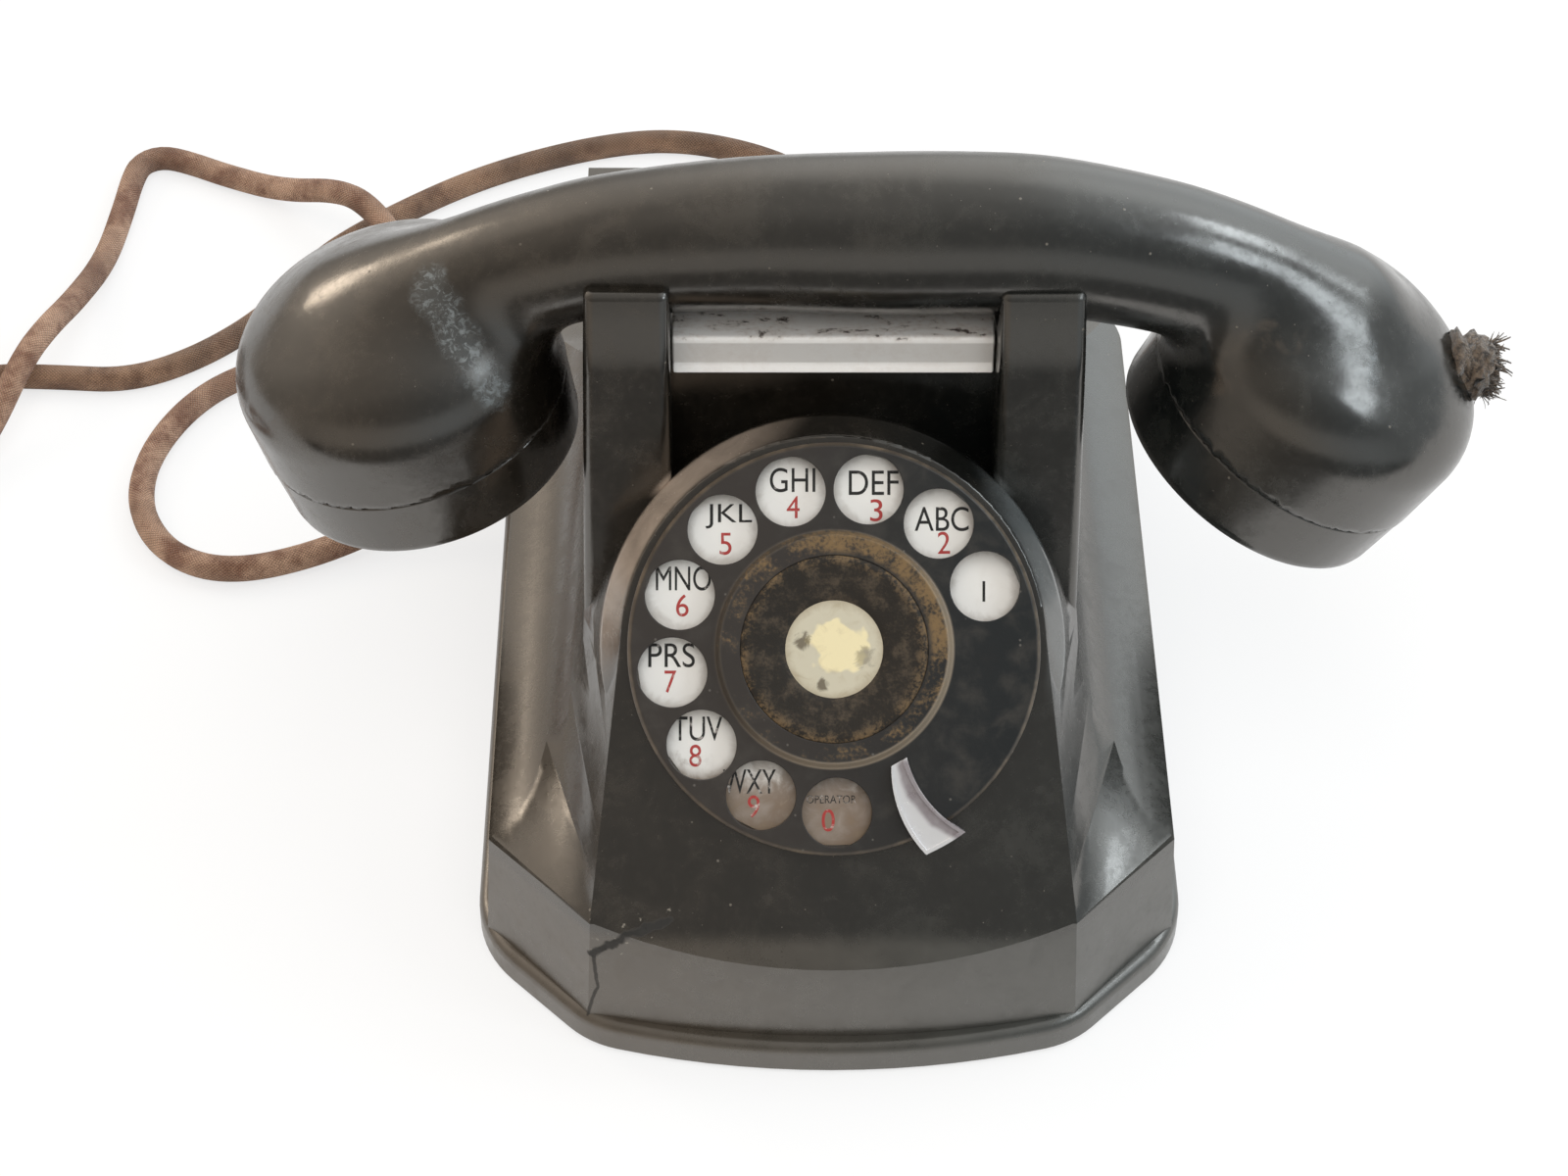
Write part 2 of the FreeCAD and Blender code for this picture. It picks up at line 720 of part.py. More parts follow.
def gear(teeth, module, thick, bore, centre, height, phase):
    """Spur gear with involute flanks, a tooth pointing along phase in degrees."""
    pitch = teeth * module / 2
    base_radius = pitch * math.cos(math.radians(20))
    tip, root = pitch + 0.8 * module, pitch - 1.15 * module
    half_tooth = 0.42 * math.pi / teeth

    def spread(radius):
        if radius <= base_radius:
            return 0.0
        a = math.acos(base_radius / radius)
        return math.tan(a) - a

    def flank(radius):
        return half_tooth + spread(pitch) - spread(radius)

    radii = [root, max(root, base_radius) * 0.5 + pitch * 0.5, tip]
    points = []
    for i in range(teeth):
        middle = math.radians(phase) + 2 * math.pi * i / teeth
        for r in radii:
            points.append((r, middle - flank(r)))
        for r in reversed(radii):
            points.append((r, middle + flank(r)))
    x, y, _ = centre
    outline = [(x + r * math.cos(a), y + r * math.sin(a), height) for r, a in points]
    body = prism(outline, (0, 0, thick))
    return body.cut(cylinder(bore, thick, (x, y, height)))


def finger_wheel():
    top = wheel_bottom + wheel_thick
    low = wheel_bottom - wheel_rim_drop
    disc = revolve([
        (shaft_radius, wheel_bottom), (wheel_radius - 0.8, wheel_bottom), (wheel_radius - 0.8, low),
        (wheel_radius, low), (wheel_radius, top - 0.7), (wheel_radius - 0.7, top),
        (wheel_boss_radius, top), (wheel_boss_radius - 0.8, top + wheel_boss_height),
        (card_ring_inner, top + wheel_boss_height), (card_ring_inner, top), (card_radius + 0.3, top),
        (card_radius + 0.3, top - 0.4), (shaft_radius, top - 0.4)])
    holes = []
    for i in range(hole_count):
        angle = hole_first_angle + i * hole_step_angle
        holes.append(cylinder(hole_radius, wheel_thick, polar(hole_ring, angle, wheel_bottom)))
    return disc.cut(Part.makeCompound(holes))


def card_ring():
    """Ring round the card, held in the raised centre of the wheel."""
    top = wheel_bottom + wheel_thick
    return revolve([
        (card_radius, top), (card_ring_inner, top), (card_ring_inner, top + wheel_boss_height - 0.1),
        (card_ring_inner - 1.2, top + wheel_boss_height + 0.3), (card_radius + 1.4, top + wheel_boss_height - 0.3),
        (card_radius, top + 0.5)])


def dial_card():
    top = wheel_bottom + wheel_thick
    return cylinder(card_radius, 0.4, (0, 0, top))


def dial_shaft():
    top = wheel_bottom + wheel_thick - 0.4
    return cylinder(shaft_radius, bridge_depth + 2.5 + top, (0, 0, -bridge_depth - 2.5))


def dial_bridge():
    """Back plate of the works on three posts under the pan."""
    plate = cylinder(bridge_radius, 1.0, (0, 0, -bridge_depth - 1))
    for angle in bridge_post_angles:
        plate = plate.cut(cylinder(7.5, 1.0, polar(21.0, angle, -bridge_depth - 1)))
    plate = plate.cut(cylinder(shaft_radius + run_gap, 1.0, (0, 0, -bridge_depth - 1)))
    for radius, angle in (impulse_place(), governor_place()):
        plate = plate.cut(cylinder(pivot_radius + run_gap, 1.0, polar(radius, angle, -bridge_depth - 1)))
    posts = []
    for angle in bridge_post_angles:
        posts.append(cylinder(1.8, bridge_depth - pan_depth, polar(bridge_post_ring, angle, -bridge_depth)))
    return fuse([plate] + posts)


def spring_barrel():
    """Closed barrel of the return spring round the shaft."""
    low, high = -bridge_depth, -bridge_depth + barrel_height
    bore = shaft_radius + run_gap
    return revolve([
        (bore, low), (barrel_radius - 0.6, low), (barrel_radius - 0.6, low + 0.5), (barrel_radius, low + 0.5),
        (barrel_radius, high - 0.5), (barrel_radius - 0.6, high), (4.5, high), (4.5, high + 0.6), (bore, high + 0.6)])


def works_shaft(radius, centre):
    """Thin shaft with a pivot at each end, in the pan and the bridge."""
    x, y, _ = polar(*centre)
    low, high = -bridge_depth + 0.2, -pan_depth - 0.2
    shaft = cylinder(radius, high - low, (x, y, low))
    return fuse([shaft, cylinder(pivot_radius, high - low + 2.2, (x, y, low - 1.1))])


def impulse_cam():
    """Two lobed cam that opens the impulse contacts."""
    x, y, _ = polar(*impulse_place())
    height = -bridge_depth + 1.8
    blank = cylinder(cam_radius, 2.0, (x, y, height))
    lobes = box(x - cam_radius, y - 2.6, height, x + cam_radius, y + 2.6, height + 2.0)
    return blank.common(lobes).cut(cylinder(impulse_shaft_radius, 2.0, (x, y, height)))


def governor_weights():
    """Hub with a spring strip and two weights that fly out to brake the return."""
    x, y, _ = polar(*governor_place())
    height = -bridge_depth + 0.9
    hub = ring(2.2, governor_shaft_radius, 3.0, (x, y, height))
    strip = box(x - governor_radius + 1.5, y - 0.35, height + 0.6, x + governor_radius - 1.5, y + 0.35, height + 2.4)
    strip = strip.cut(cylinder(governor_shaft_radius, 3.0, (x, y, height)))
    weights = ring(governor_radius, governor_radius - 2.0, 2.6, (x, y, height + 0.2))
    for side in (-1, 1):
        weights = weights.cut(box(x - 3.2, min(0, side * 8) + y, height, x + 3.2, max(0, side * 8) + y, height + 4))
    return fuse([hub, strip, weights])


def dial_contact_springs():
    """Stack of leaf springs beside the impulse cam."""
    low = -bridge_depth
    block = box(-8, 17.6, low, 0, 24.6, low + 4.4)
    leaves = []
    for i in range(3):
        y = 18.2 + 2.3 * i
        leaves.append(box(-25 + 2 * i, y, low + 0.8, -8, y + 0.4, low + 4.0))
    return fuse([block] + leaves)


# Hook switch
def hook_bar():
    """Bent strip between the pillars with two legs through the deck."""
    top, t = bar_top_z, bar_sheet
    profile = [
        (bar_front_y, top - 0.8), (bar_front_y + 0.8, top), (bar_back_y - 0.8, top), (bar_back_y, top - 0.8),
        (bar_back_y, top - 4.0), (bar_back_y - t, top - 4.0), (bar_back_y - t, top - t),
        (bar_front_y + t, top - t), (bar_front_y + t, bar_flange_z),
        (bar_front_y + t - bar_lip, bar_flange_z - bar_lip), (bar_front_y - bar_lip, bar_flange_z - bar_lip),
        (bar_front_y, bar_flange_z)]
    strip = prism([(-bar_half_length, y, z) for y, z in profile], (2 * bar_half_length, 0, 0))
    legs = []
    for x in (-leg_x, leg_x):
        legs.append(box(x - leg_width / 2, leg_y, leg_foot_z, x + leg_width / 2, leg_y + leg_thick, top - t / 2))
    return fuse([strip] + legs)


def hook_lever():
    """Forked plate on a tube; its arms lie under the legs, its stud over the contacts."""
    top = leg_foot_z - lever_gap
    t = lever_thick
    w, tip = lever_half_width, leg_y - 2.5
    outline = [
        (-w, tip), (-w + 9, tip), (-w + 9, 14), (-4, 14), (-4, 1), (4, 1), (4, 14), (w - 9, 14),
        (w - 9, tip), (w, tip), (w, lever_pivot_y), (-w, lever_pivot_y)]
    plate = prism([(x, y, top - t) for x, y in outline], (0, 0, t))
    hub = cylinder(lever_hub_radius, 2 * w, (-w, lever_pivot_y, lever_pivot_z), (1, 0, 0))
    stud = cylinder(2.0, top - t - contact_top_z - lever_gap + 1, (0, 4.5, contact_top_z + lever_gap))
    body = fuse([plate, hub, stud])
    return body.cut(cylinder(lever_pin_radius + run_gap, 2 * w, (-w, lever_pivot_y, lever_pivot_z), (1, 0, 0)))


def hook_pin():
    half = bracket_inner_x + bracket_sheet + 1
    pin = cylinder(lever_pin_radius, 2 * half, (-half, lever_pivot_y, lever_pivot_z), (1, 0, 0))
    return pin


def hook_bracket():
    """Bent steel bracket on the base plate that carries the lever pin and the contacts."""
    x0, t, floor = bracket_inner_x, bracket_sheet, plate_top_z
    front, back = lever_pivot_y - 7.5, bracket_back_y
    shoulder, head = lever_pivot_z - 8, lever_pivot_z + 4
    pieces = []
    for side in (-1, 1):
        xa, xb = sorted((side * x0, side * (x0 + t)))
        cheek = [(front, floor), (back, floor), (back, shoulder), (back - 4, head), (front + 4, head), (front, shoulder)]
        pieces.append(prism([(xa, y, z) for y, z in cheek], (t, 0, 0)))
        foot_a, foot_b = sorted((side * x0, side * (x0 + 12)))
        pieces.append(box(foot_a, front, floor, foot_b, back, floor + t))
    pieces.append(box(-x0, back - t, contact_top_z - 20, x0, back, shoulder))
    bracket = fuse(pieces)
    hole = cylinder(lever_pin_radius, 100, (-50, lever_pivot_y, lever_pivot_z), (1, 0, 0))
    return bracket.cut(hole)


def hook_contact_springs():
    """Leaf springs in an insulating block on the bracket."""
    root = lever_pivot_y - 2.5
    block = box(-8, root, contact_top_z - 10, 8, bracket_back_y - bracket_sheet, contact_top_z)
    leaves = []
    for i in range(4):
        z = contact_top_z - leaf_thick - 2.9 * i
        leaves.append(box(-3, -3 + 2 * i, z, 3, root, z + leaf_thick))
    return fuse([block] + leaves)


# Ringer
def ringer_frame():
    floor = plate_top_z
    sheet, half = 1.5, coil_x + coil_radius + 2
    neck, wing = gong_y - 10, gong_x + 7
    pieces = [box(-half, coil_front_y - 2, floor, half, neck, floor + sheet)]
    pieces.append(box(-wing, neck, floor, wing, gong_y + 10, floor + sheet))
    pieces.append(box(-half, coil_front_y - 2, floor, half, coil_front_y, coil_z + coil_radius + 1))
    for x in (-gong_x, gong_x):
        top = gong_top_z - gong_wall
        pieces.append(cylinder(gong_post_radius, top - floor, (x, gong_y, floor)))
    frame = fuse(pieces)
    for x in (-gong_x, gong_x):
        frame = frame.cut(cylinder(1.5, 10, (x, gong_y, gong_top_z - 9)))
    frame = frame.cut(cylinder(1.0, 3, (0, armature_pivot_y, floor - 1)))
    return frame


def ringer_coils():
    """Two bobbins on iron cores, from the frame's upright towards the armature."""
    length = coil_back_y - coil_front_y
    coils = []
    for x in (-coil_x, coil_x):
        coils.append(revolve([
            (0, 0), (coil_radius, 0), (coil_radius, 1.5), (coil_radius - 1.2, 1.5),
            (coil_radius - 1.2, length - 1.5), (coil_radius, length - 1.5), (coil_radius, length),
            (pole_radius, length), (pole_radius, length + 1.8), (0, length + 1.8)],
            (x, coil_front_y, coil_z), (0, 1, 0)))
    return Part.makeCompound(coils)


def armature_y():
    """Front face of the armature, clear of the poles."""
    return coil_back_y + 1.8 + armature_gap


def armature():
    y = armature_y()
    bar = box(-armature_half, y, clapper_z - 4, armature_half, y + 3, clapper_z + 4)
    return bar.cut(cylinder(1.0 + run_gap, 10, (0, armature_pivot_y, clapper_z - 5)))


def clapper_rod():
    start = armature_y() + 3
    rod = cylinder(0.9, gong_y - start, (0, start, clapper_z), (0, 1, 0))
    ball = Part.makeSphere(clapper_radius, V(0, gong_y, clapper_z))
    return fuse([rod, ball])


def armature_pin():
    floor = plate_top_z
    return cylinder(1.0, clapper_z + 6 - floor, (0, armature_pivot_y, floor))


def gong(x):
    r, h, t = gong_radius, gong_height, gong_wall
    return revolve([
        (1.5, h), (r * 0.62, h), (r * 0.88, h - 2.2), (r, h - 6.5), (r, 0), (r - t, 0),
        (r - t, h - 6.2), (r * 0.88 - t, h - 2.2 - t * 0.7), (r * 0.6, h - t), (1.5, h - t)],
        (x, gong_y, gong_top_z - gong_height))


def gong_screws():
    screws = []
    for x in (-gong_x, gong_x):
        head = cylinder(3.2, 1.8, (x, gong_y, gong_top_z))
        shank = cylinder(1.5, 9, (x, gong_y, gong_top_z - 9))
        slot = box(x - 3.5, gong_y - 0.4, gong_top_z + 1.0, x + 3.5, gong_y + 0.4, gong_top_z + 2)
        screws.append(head.fuse(shank).cut(slot))
    return Part.makeCompound(screws)


# Circuit parts
def induction_coil():
    half, c = induction_half, induction_cheek
    z = plate_top_z + c / 2
    pieces = [cylinder(c / 2 - 2, 2 * half, (-half, induction_y, z), (1, 0, 0))]
    for x in (-half, half - 2.5):
        pieces.append(box(x, induction_y - c / 2, plate_top_z, x + 2.5, induction_y + c / 2, plate_top_z + c))
    pieces.append(cylinder(3.0, 2 * half + 4, (-half - 2, induction_y, z), (1, 0, 0)))
    return fuse(pieces)


def capacitor():
    w, d, h = capacitor_size
    can = box(-w / 2, capacitor_y, plate_top_z, w / 2, capacitor_y + d, plate_top_z + h)
    can = can.makeFillet(2.0, [e for e in can.Edges if abs(e.tangentAt(e.FirstParameter).z) > 0.9])
    tags = [cylinder(1.5, 2.0, (x, capacitor_y + d / 2, plate_top_z + h)) for x in (-12, 12)]
    return fuse([can] + tags)


def terminal_places():
    step = terminal_size[0] / terminal_count
    return [step * (i - (terminal_count - 1) / 2) for i in range(terminal_count)]


def terminal_block():
    w, d, h = terminal_size
    block = box(-w / 2, terminal_y, plate_top_z, w / 2, terminal_y + d, plate_top_z + h)
    step = w / terminal_count
    for x in terminal_places()[1:]:
        block = block.cut(box(x - step / 2 - 0.5, terminal_y, plate_top_z + h - 3, x - step / 2 + 0.5,
                              terminal_y + d, plate_top_z + h))
    for x in terminal_places():
        block = block.cut(cylinder(1.2, 6, (x, terminal_y + d / 2, plate_top_z + h - 6)))
    return block


def terminal_screws():
    screws = []
    for x in terminal_places():
        top = plate_top_z + terminal_size[2]
        y = terminal_y + terminal_size[1] / 2
        head = cylinder(2.4, 1.6, (x, y, top))
        shank = cylinder(1.2, 6, (x, y, top - 6))
        slot = box(x - 3, y - 0.3, top + 1.0, x + 3, y + 0.3, top + 2)
        screws.append(head.fuse(shank).cut(slot))
    return Part.makeCompound(screws)


# Handset
def on_cup(shape, rim, tilt_degrees):
    rotation = FreeCAD.Rotation(V(0, 1, 0), tilt_degrees)
    return place(shape, (rim[0], handle_y, rim[1]), rotation)


def cup_body(crease):
    """Shell of one handset end above the seam, with the threaded spigot for its cap."""
    spigot = cap_height - spigot_height
    outer = cup_seam_radius - cap_wall - part_gap
    inner = capsule_radius + part_gap
    # Dome of two tangent arcs: a tight shoulder and a flat crown
    a, b, tight = cup_crease_radius, cup_dome_height, cup_shoulder_radius
    crown = ((a - tight) ** 2 + b ** 2 - tight ** 2) / (2 * (b - tight))
    lean = math.atan2(a - tight, crown - b)

    def p(r, h):
        return V(r, 0, h)

    def on_shoulder(angle):
        return p(a - tight + tight * math.sin(angle), crease + tight * math.cos(angle))

    def on_crown(angle):
        return p(crown * math.sin(angle), crease + b - crown + crown * math.cos(angle))

    points = [p(0, crease + b), p(0, crease + 1), p(inner, crease + 1), p(inner, spigot), p(outer, spigot),
              p(outer, cap_height), p(cup_seam_radius, cap_height), p(cup_crease_radius, crease)]
    edges = [Part.makeLine(s, e) for s, e in zip(points, points[1:])]
    edges.append(Part.Arc(points[-1], on_shoulder((math.pi / 2 + lean) / 2), on_shoulder(lean)).toShape())
    edges.append(Part.Arc(on_shoulder(lean), on_crown(lean / 2), points[0]).toShape())
    return Part.Face(Part.Wire(edges)).revolve(V(0, 0, 0), V(0, 0, 1), 360)


def blended(body):
    """Handset body with a fillet where the handle's lofted skin runs into the round cups."""
    found = []
    for edge in body.Edges:
        kinds = [face.Surface.TypeId[10:] for face in body.ancestorsOfType(edge, Part.Face)]
        if kinds.count("BSplineSurface") == 1 and "Plane" not in kinds and "Cylinder" not in kinds:
            found.append(edge)
    return body.makeFillet(cup_blend, found)


def cup_hollow(crease):
    return cylinder(capsule_radius + part_gap, crease + 1, (0, 0, 0))


def cap(holes):
    """Screwed cap with a rounded rim and sound holes."""
    r, seam = cap_rim_radius, cup_seam_radius
    inner = seam - cap_wall
    body = revolve([
        (0, 1.0), (r - 6, 1.0), (r - 3, 0), (r - 0.9, 0.2), (r - 0.2, 1.0), (r + 0.1, 2.2), (seam - 0.1, cap_height - 0.5),
        (seam - 0.5, cap_height), (inner, cap_height), (inner, cap_face + 0.5), (0, cap_face + 0.5)])
    cuts = [cylinder(1.3, 8, (0, 0, -1))]
    for radius, count in holes:
        for i in range(count):
            cuts.append(cylinder(1.3, 8, polar(radius, 360.0 * i / count, -1)))
    return body.cut(Part.makeCompound(cuts))


def capsule():
    r, h = capsule_radius, capsule_height
    z = cap_face + 0.5
    return revolve([
        (0, z), (r - 1, z), (r, z + 1), (r, z + 4), (r - 2, z + 5), (r - 2, z + h - 1), (r - 3, z + h),
        (8, z + h), (8, z + h + 1.5), (0, z + h + 1.5)])


def handle_bar():
    """Handle as a loft through round sections of a smooth curve of place and radius."""
    curve = handle_curve()
    rings = []
    for i in range(handle_sections + 1):
        u = curve.FirstParameter + (curve.LastParameter - curve.FirstParameter) * i / handle_sections
        at, along_curve = curve.value(u), curve.tangent(u)[0]
        middle = V(at.x, handle_y, at.y)
        rings.append(Part.Wire(Part.makeCircle(at.z, middle, V(along_curve.x, 0, along_curve.y))))
    return Part.makeLoft(rings, True, False)


def handset_handle():
    ends = []
    for rim, lean, crease in ((receiver_rim, receiver_tilt, receiver_crease),
                              (transmitter_rim, transmitter_tilt, transmitter_crease)):
        cup = cup_body(crease)
        if rim[0] < 0:
            cup.rotate(V(0, 0, 0), V(0, 0, 1), 180)
        ends.append((on_cup(cup, rim, lean), on_cup(cup_hollow(crease), rim, lean)))
    body = handle_bar()
    for cup, hollow in ends:
        body = body.cut(hollow).fuse(cup)
    body = blended(body)
    for cup, hollow in ends:
        body = body.cut(hollow)
    hole = cylinder(stub_radius, 14, stub_at(-8), stub_direction())
    return body.cut(hole).removeSplitter()


def stub_direction():
    a = math.radians(stub_droop)
    return (math.cos(a), 0, -math.sin(a))


def stub_at(distance):
    """Point on the axis of the cord stub, from its root on the cup."""
    dx, _, dz = stub_direction()
    return (stub_root[0] + dx * distance, handle_y, stub_root[1] + dz * distance)


def handset_cord_stub():
    """Cut end of the cloth covered cord in the transmitter end, slightly frayed."""
    core = cylinder(stub_radius, 4 + stub_length - 1.5, stub_at(-4), stub_direction())
    tip = Part.makeCone(stub_radius, stub_radius - 1.3, 1.5, V(*stub_at(stub_length - 1.5)), V(*stub_direction()))
    return fuse([core, tip])


# Cords
def tangent_route(points):
    """Straight runs joined by arcs, each 0.45 of its shorter run from the corner."""
    pts = [V(*p) for p in points]
    edges, radii = [], []
    last = pts[0]
    for a, b, c in zip(pts, pts[1:], pts[2:]):
        u, w = (b - a).normalize(), (c - b).normalize()
        turn = u.getAngle(w)
        if turn < 0.01:
            continue
        reach = 0.45 * min((b - a).Length, (c - b).Length)
        radius = reach / math.tan(turn / 2)
        start, end = b - u * reach, b + w * reach
        middle = b + (w - u).normalize() * (radius / math.cos(turn / 2) - radius)
        edges.append(Part.makeLine(last, start))
        edges.append(Part.Arc(start, middle, end).toShape())
        radii.append(radius)
        last = end
    edges.append(Part.makeLine(last, pts[-1]))
    return edges, min(radii)


def tube(edges, radius):
    """One tube of round section along a chain of edges."""
    path = Part.Wire(edges)
    start = edges[0].valueAt(edges[0].FirstParameter)
    direction = edges[0].tangentAt(edges[0].FirstParameter)
    profile = Part.Wire(Part.makeCircle(radius, start, direction))
    return path.makePipeShell([profile], True, False)


def biarc(p0, t0, p1, t1):
    """Two arcs that leave p0 along t0 and reach p1 along t1."""
    v, t = p1 - p0, t0 + t1
    k = 2 * (1 - t0.dot(t1))
    b = v.dot(t)
    d = (-b + math.sqrt(b * b + k * v.dot(v))) / k if k > 1e-9 else v.dot(v) / (2 * b)
    q = ((p0 + t0 * d) + (p1 - t1 * d)) * 0.5

    def arc_middle(a, direction, end):
        c = end - a
        phi = direction.getAngle(c)
        unit = V(c).normalize()
        square = (direction - unit * direction.dot(unit)).normalize()
        return a + c * 0.5 + square * (c.Length / 2 * math.tan(phi / 2))

    first = Part.Arc(p0, arc_middle(p0, t0, q), q).toShape()
    return [first, Part.Arc(q, arc_middle(p1, t1 * -1, q), p1).toShape()]


def coil_stations(centre, radius, start_angle, turns):
    """Places and directions, a quarter turn apart, of a coil wound in and out in two layers."""
    count = int(round(turns * 4))
    half = turns * math.pi
    stations = []
    for i in range(count + 1):
        theta = 2 * math.pi * turns * i / count
        away = max(0.0, abs(theta - half) - math.pi / 2)
        inner = radius - coil_pitch * (half - math.pi / 2) / (2 * math.pi)
        r = inner + coil_pitch * away / (2 * math.pi)
        s = min(1.0, max(0.0, (theta - half) / math.pi + 0.5))
        z = floor_z + coil_layer * s
        a = math.radians(start_angle) - theta
        out = V(math.cos(a), math.sin(a), 0)
        forward = V(math.sin(a), -math.cos(a), 0)
        drift = 0.0 if away == 0 else math.copysign(coil_pitch / (2 * math.pi), theta - half)
        rise = coil_layer / math.pi if 0.0 < s < 1.0 else 0.0
        tangent = (forward * r + out * drift + V(0, 0, rise)).normalize()
        stations.append((V(centre[0], centre[1], 0) + out * r + V(0, 0, z), tangent))
    return stations


def coil_edges(stations):
    edges = []
    for (p0, t0), (p1, t1) in zip(stations, stations[1:]):
        edges += biarc(p0, t0, p1, t1)
    return edges


def least_gap(stations, radius):
    """Least gap between turns, measured on points along the coil's arcs."""
    points = []
    for edge in coil_edges(stations):
        points += edge.discretize(6)[:-1]
    step = points[0].distanceToPoint(points[1])
    skip = int(4 * radius / step) + 3
    least = min(p.distanceToPoint(q) for i, p in enumerate(points) for q in points[i + skip:])
    return least - 2 * radius


def gland(outward):
    """Bushing in the wall, along outward from the inner face, with a flange inside."""
    bush = revolve([
        (cord_radius + run_gap, -2), (gland_flange, -2), (gland_flange, 0), (gland_radius, 0), (gland_radius, 8.2),
        (gland_radius - 1, 9.2), (cord_radius + run_gap, 9.2)])
    base = (line_exit_x, band_rear_y - wall, cord_exit_z)
    if outward[0]:
        base = (wall - facet_side_x, handset_exit_y, cord_exit_z)
    bush.Placement = FreeCAD.Placement(V(*base), FreeCAD.Rotation(V(0, 0, 1), V(*outward)))
    return bush


line_coil = coil_stations(line_coil_centre, line_coil_radius, line_coil_angle, line_coil_turns)
handset_coil = coil_stations(handset_coil_centre, handset_coil_radius, handset_coil_angle, handset_coil_turns)
low = floor_z
high = floor_z + 10.1

line_cord_points = [
    (line_exit_x, band_rear_y - 3, cord_exit_z), (line_exit_x, band_rear_y + 13, cord_exit_z),
    (19, 124, low), (14, 152, low), (-5, 174, low), (-29, 184, low), (-50, 182.5, low), (-78, 171, low),
    (-101, 154, low), (-117, 138, low), (-125, 120, low), (-139, 105, low), (-155, 96, low),
    (-172, 97.3, low), (-188, 97.8, low), (-205.2, 89.6, low), tuple(line_coil[0][0])]

handset_cord_points = [
    (-62, handset_exit_y, cord_exit_z), (-78, handset_exit_y, cord_exit_z), (-90, 49.5, 5.5),
    (-108, 40, low), (-127, 34, low), (-141, 40, low), (-149, 55, low), (-148, 73, low), (-139, 91, low),
    (-125, 101, low), (-108, 101, low), (-96, 109, low), (-92, 122, low), (-95.5, 134.5, 8),
    (-103, 144.5, high), (-111, 152, high), (-127, 163.5, low + 0.6), (-141, 170, low),
    (-150, 174.8, low), (-157, 177.3, low), (-162, 174.5, low), (-163.3, 168, low), (-164, 157, low),
    (-166, 138, low), (-170, 118, 8), (-173.5, 103, high), (-177.5, 92, high), (-183.5, 76, 6),
    (-191, 58, low), (-203.5, 33.8, low), tuple(handset_coil[0][0])]


def cord(name, points):
    edges, radius = tangent_route(points)
    length = along(edges)
    solid = tube(edges, cord_radius)
    section = math.pi * cord_radius ** 2
    print(name, "length %.0f least bend %.1f volume ratio %.4f" % (length, radius, solid.Volume / (section * length)))
    return solid


def coil(name, stations, tail):
    """Coil with a tail of straight runs that starts at its last station."""
    edges = coil_edges(stations)
    tail_edges, radius = tangent_route([tuple(stations[-1][0])] + tail)
    length = along(edges) + along(tail_edges)
    solid = tube(edges + tail_edges, cord_radius)
    section = math.pi * cord_radius ** 2
    print(name, "length %.0f least gap %.2f volume ratio %.4f" %
          (length, least_gap(stations, cord_radius), solid.Volume / (section * length)))
    return solid


def line_coil_tail():
    end, along_end = line_coil[-1]
    z = plug_height / 2
    first = end + along_end * 14
    last = end + along_end * 38
    return [tuple(first), (last.x, last.y, z)]


def handset_coil_tail():
    end, along_end = handset_coil[-1]
    first = end + along_end * 12
    second = end + along_end * 26 + V(-4, 0, -4.4)
    return [tuple(first), tuple(second), (second.x - 10, second.y + 12, low)]


def at_plug(shape):
    """Move a shape drawn along +Y from the origin to the plug's place."""
    end, along_end = line_coil[-1]
    turn = math.degrees(math.atan2(along_end.y, along_end.x)) - 90
    spot = line_coil_tail()[-1]
    return place(shape, spot, FreeCAD.Rotation(V(0, 0, 1), turn))


def line_plug_body():
    """Four pin wall plug: rounded block with a neck for the cord and a screw boss."""
    w, h, n = plug_width / 2, plug_height / 2, plug_length
    block = box(-w, 6, -h, w, n, h)
    block = block.makeFillet(4.0, [e for e in block.Edges if abs(e.tangentAt(e.FirstParameter).y) > 0.9])
    neck = Part.makeCone(5.0, 8.5, 7.0, V(0, -1, 0), V(0, 1, 0))
    plug = fuse([block, neck])
    plug = plug.cut(cylinder(cord_radius, 8, (0, -2, 0), (0, 1, 0)))
    return at_plug(plug.cut(cylinder(3.0, 1.5, (0, n / 2 + 3, h - 1.5))))


def line_plug_pins():
    pins = []
    for x in (-8, 8):
        for z in (-5, 5):
            pin = cylinder(2.0, 17.0, (x, plug_length, z), (0, 1, 0))
            pins.append(pin.cut(box(x - 0.3, plug_length + 6, z - 3, x + 0.3, plug_length + 18, z + 3)))
    return at_plug(Part.makeCompound(pins))


def dial_train():
    """Gears in mesh at rest, and their shafts, in the dial frame."""
    first, second = impulse_place(), governor_place()
    a, b = polar(*first), polar(*second)
    between = math.degrees(math.atan2(b[1] - a[1], b[0] - a[0]))
    wide = gear_thick + 1.0
    return {
        "dial_main_gear": gear(main_teeth, main_module, gear_thick, shaft_radius, (0, 0, 0),
                               -main_gear_depth, impulse_angle),
        "impulse_pinion": gear(pinion_teeth, main_module, wide, impulse_shaft_radius, a,
                               -main_gear_depth - 0.5, impulse_angle + 180 + 180.0 / pinion_teeth),
        "impulse_wheel": gear(wheel_teeth, fine_module, 1.0, impulse_shaft_radius, a,
                              -fine_gear_depth, between),
        "governor_pinion": gear(governor_teeth, fine_module, 2.0, governor_shaft_radius, b,
                                -fine_gear_depth - 0.5, between + 180 + 180.0 / governor_teeth),
        "impulse_shaft": works_shaft(impulse_shaft_radius, first),
        "governor_shaft": works_shaft(governor_shaft_radius, second),
    }


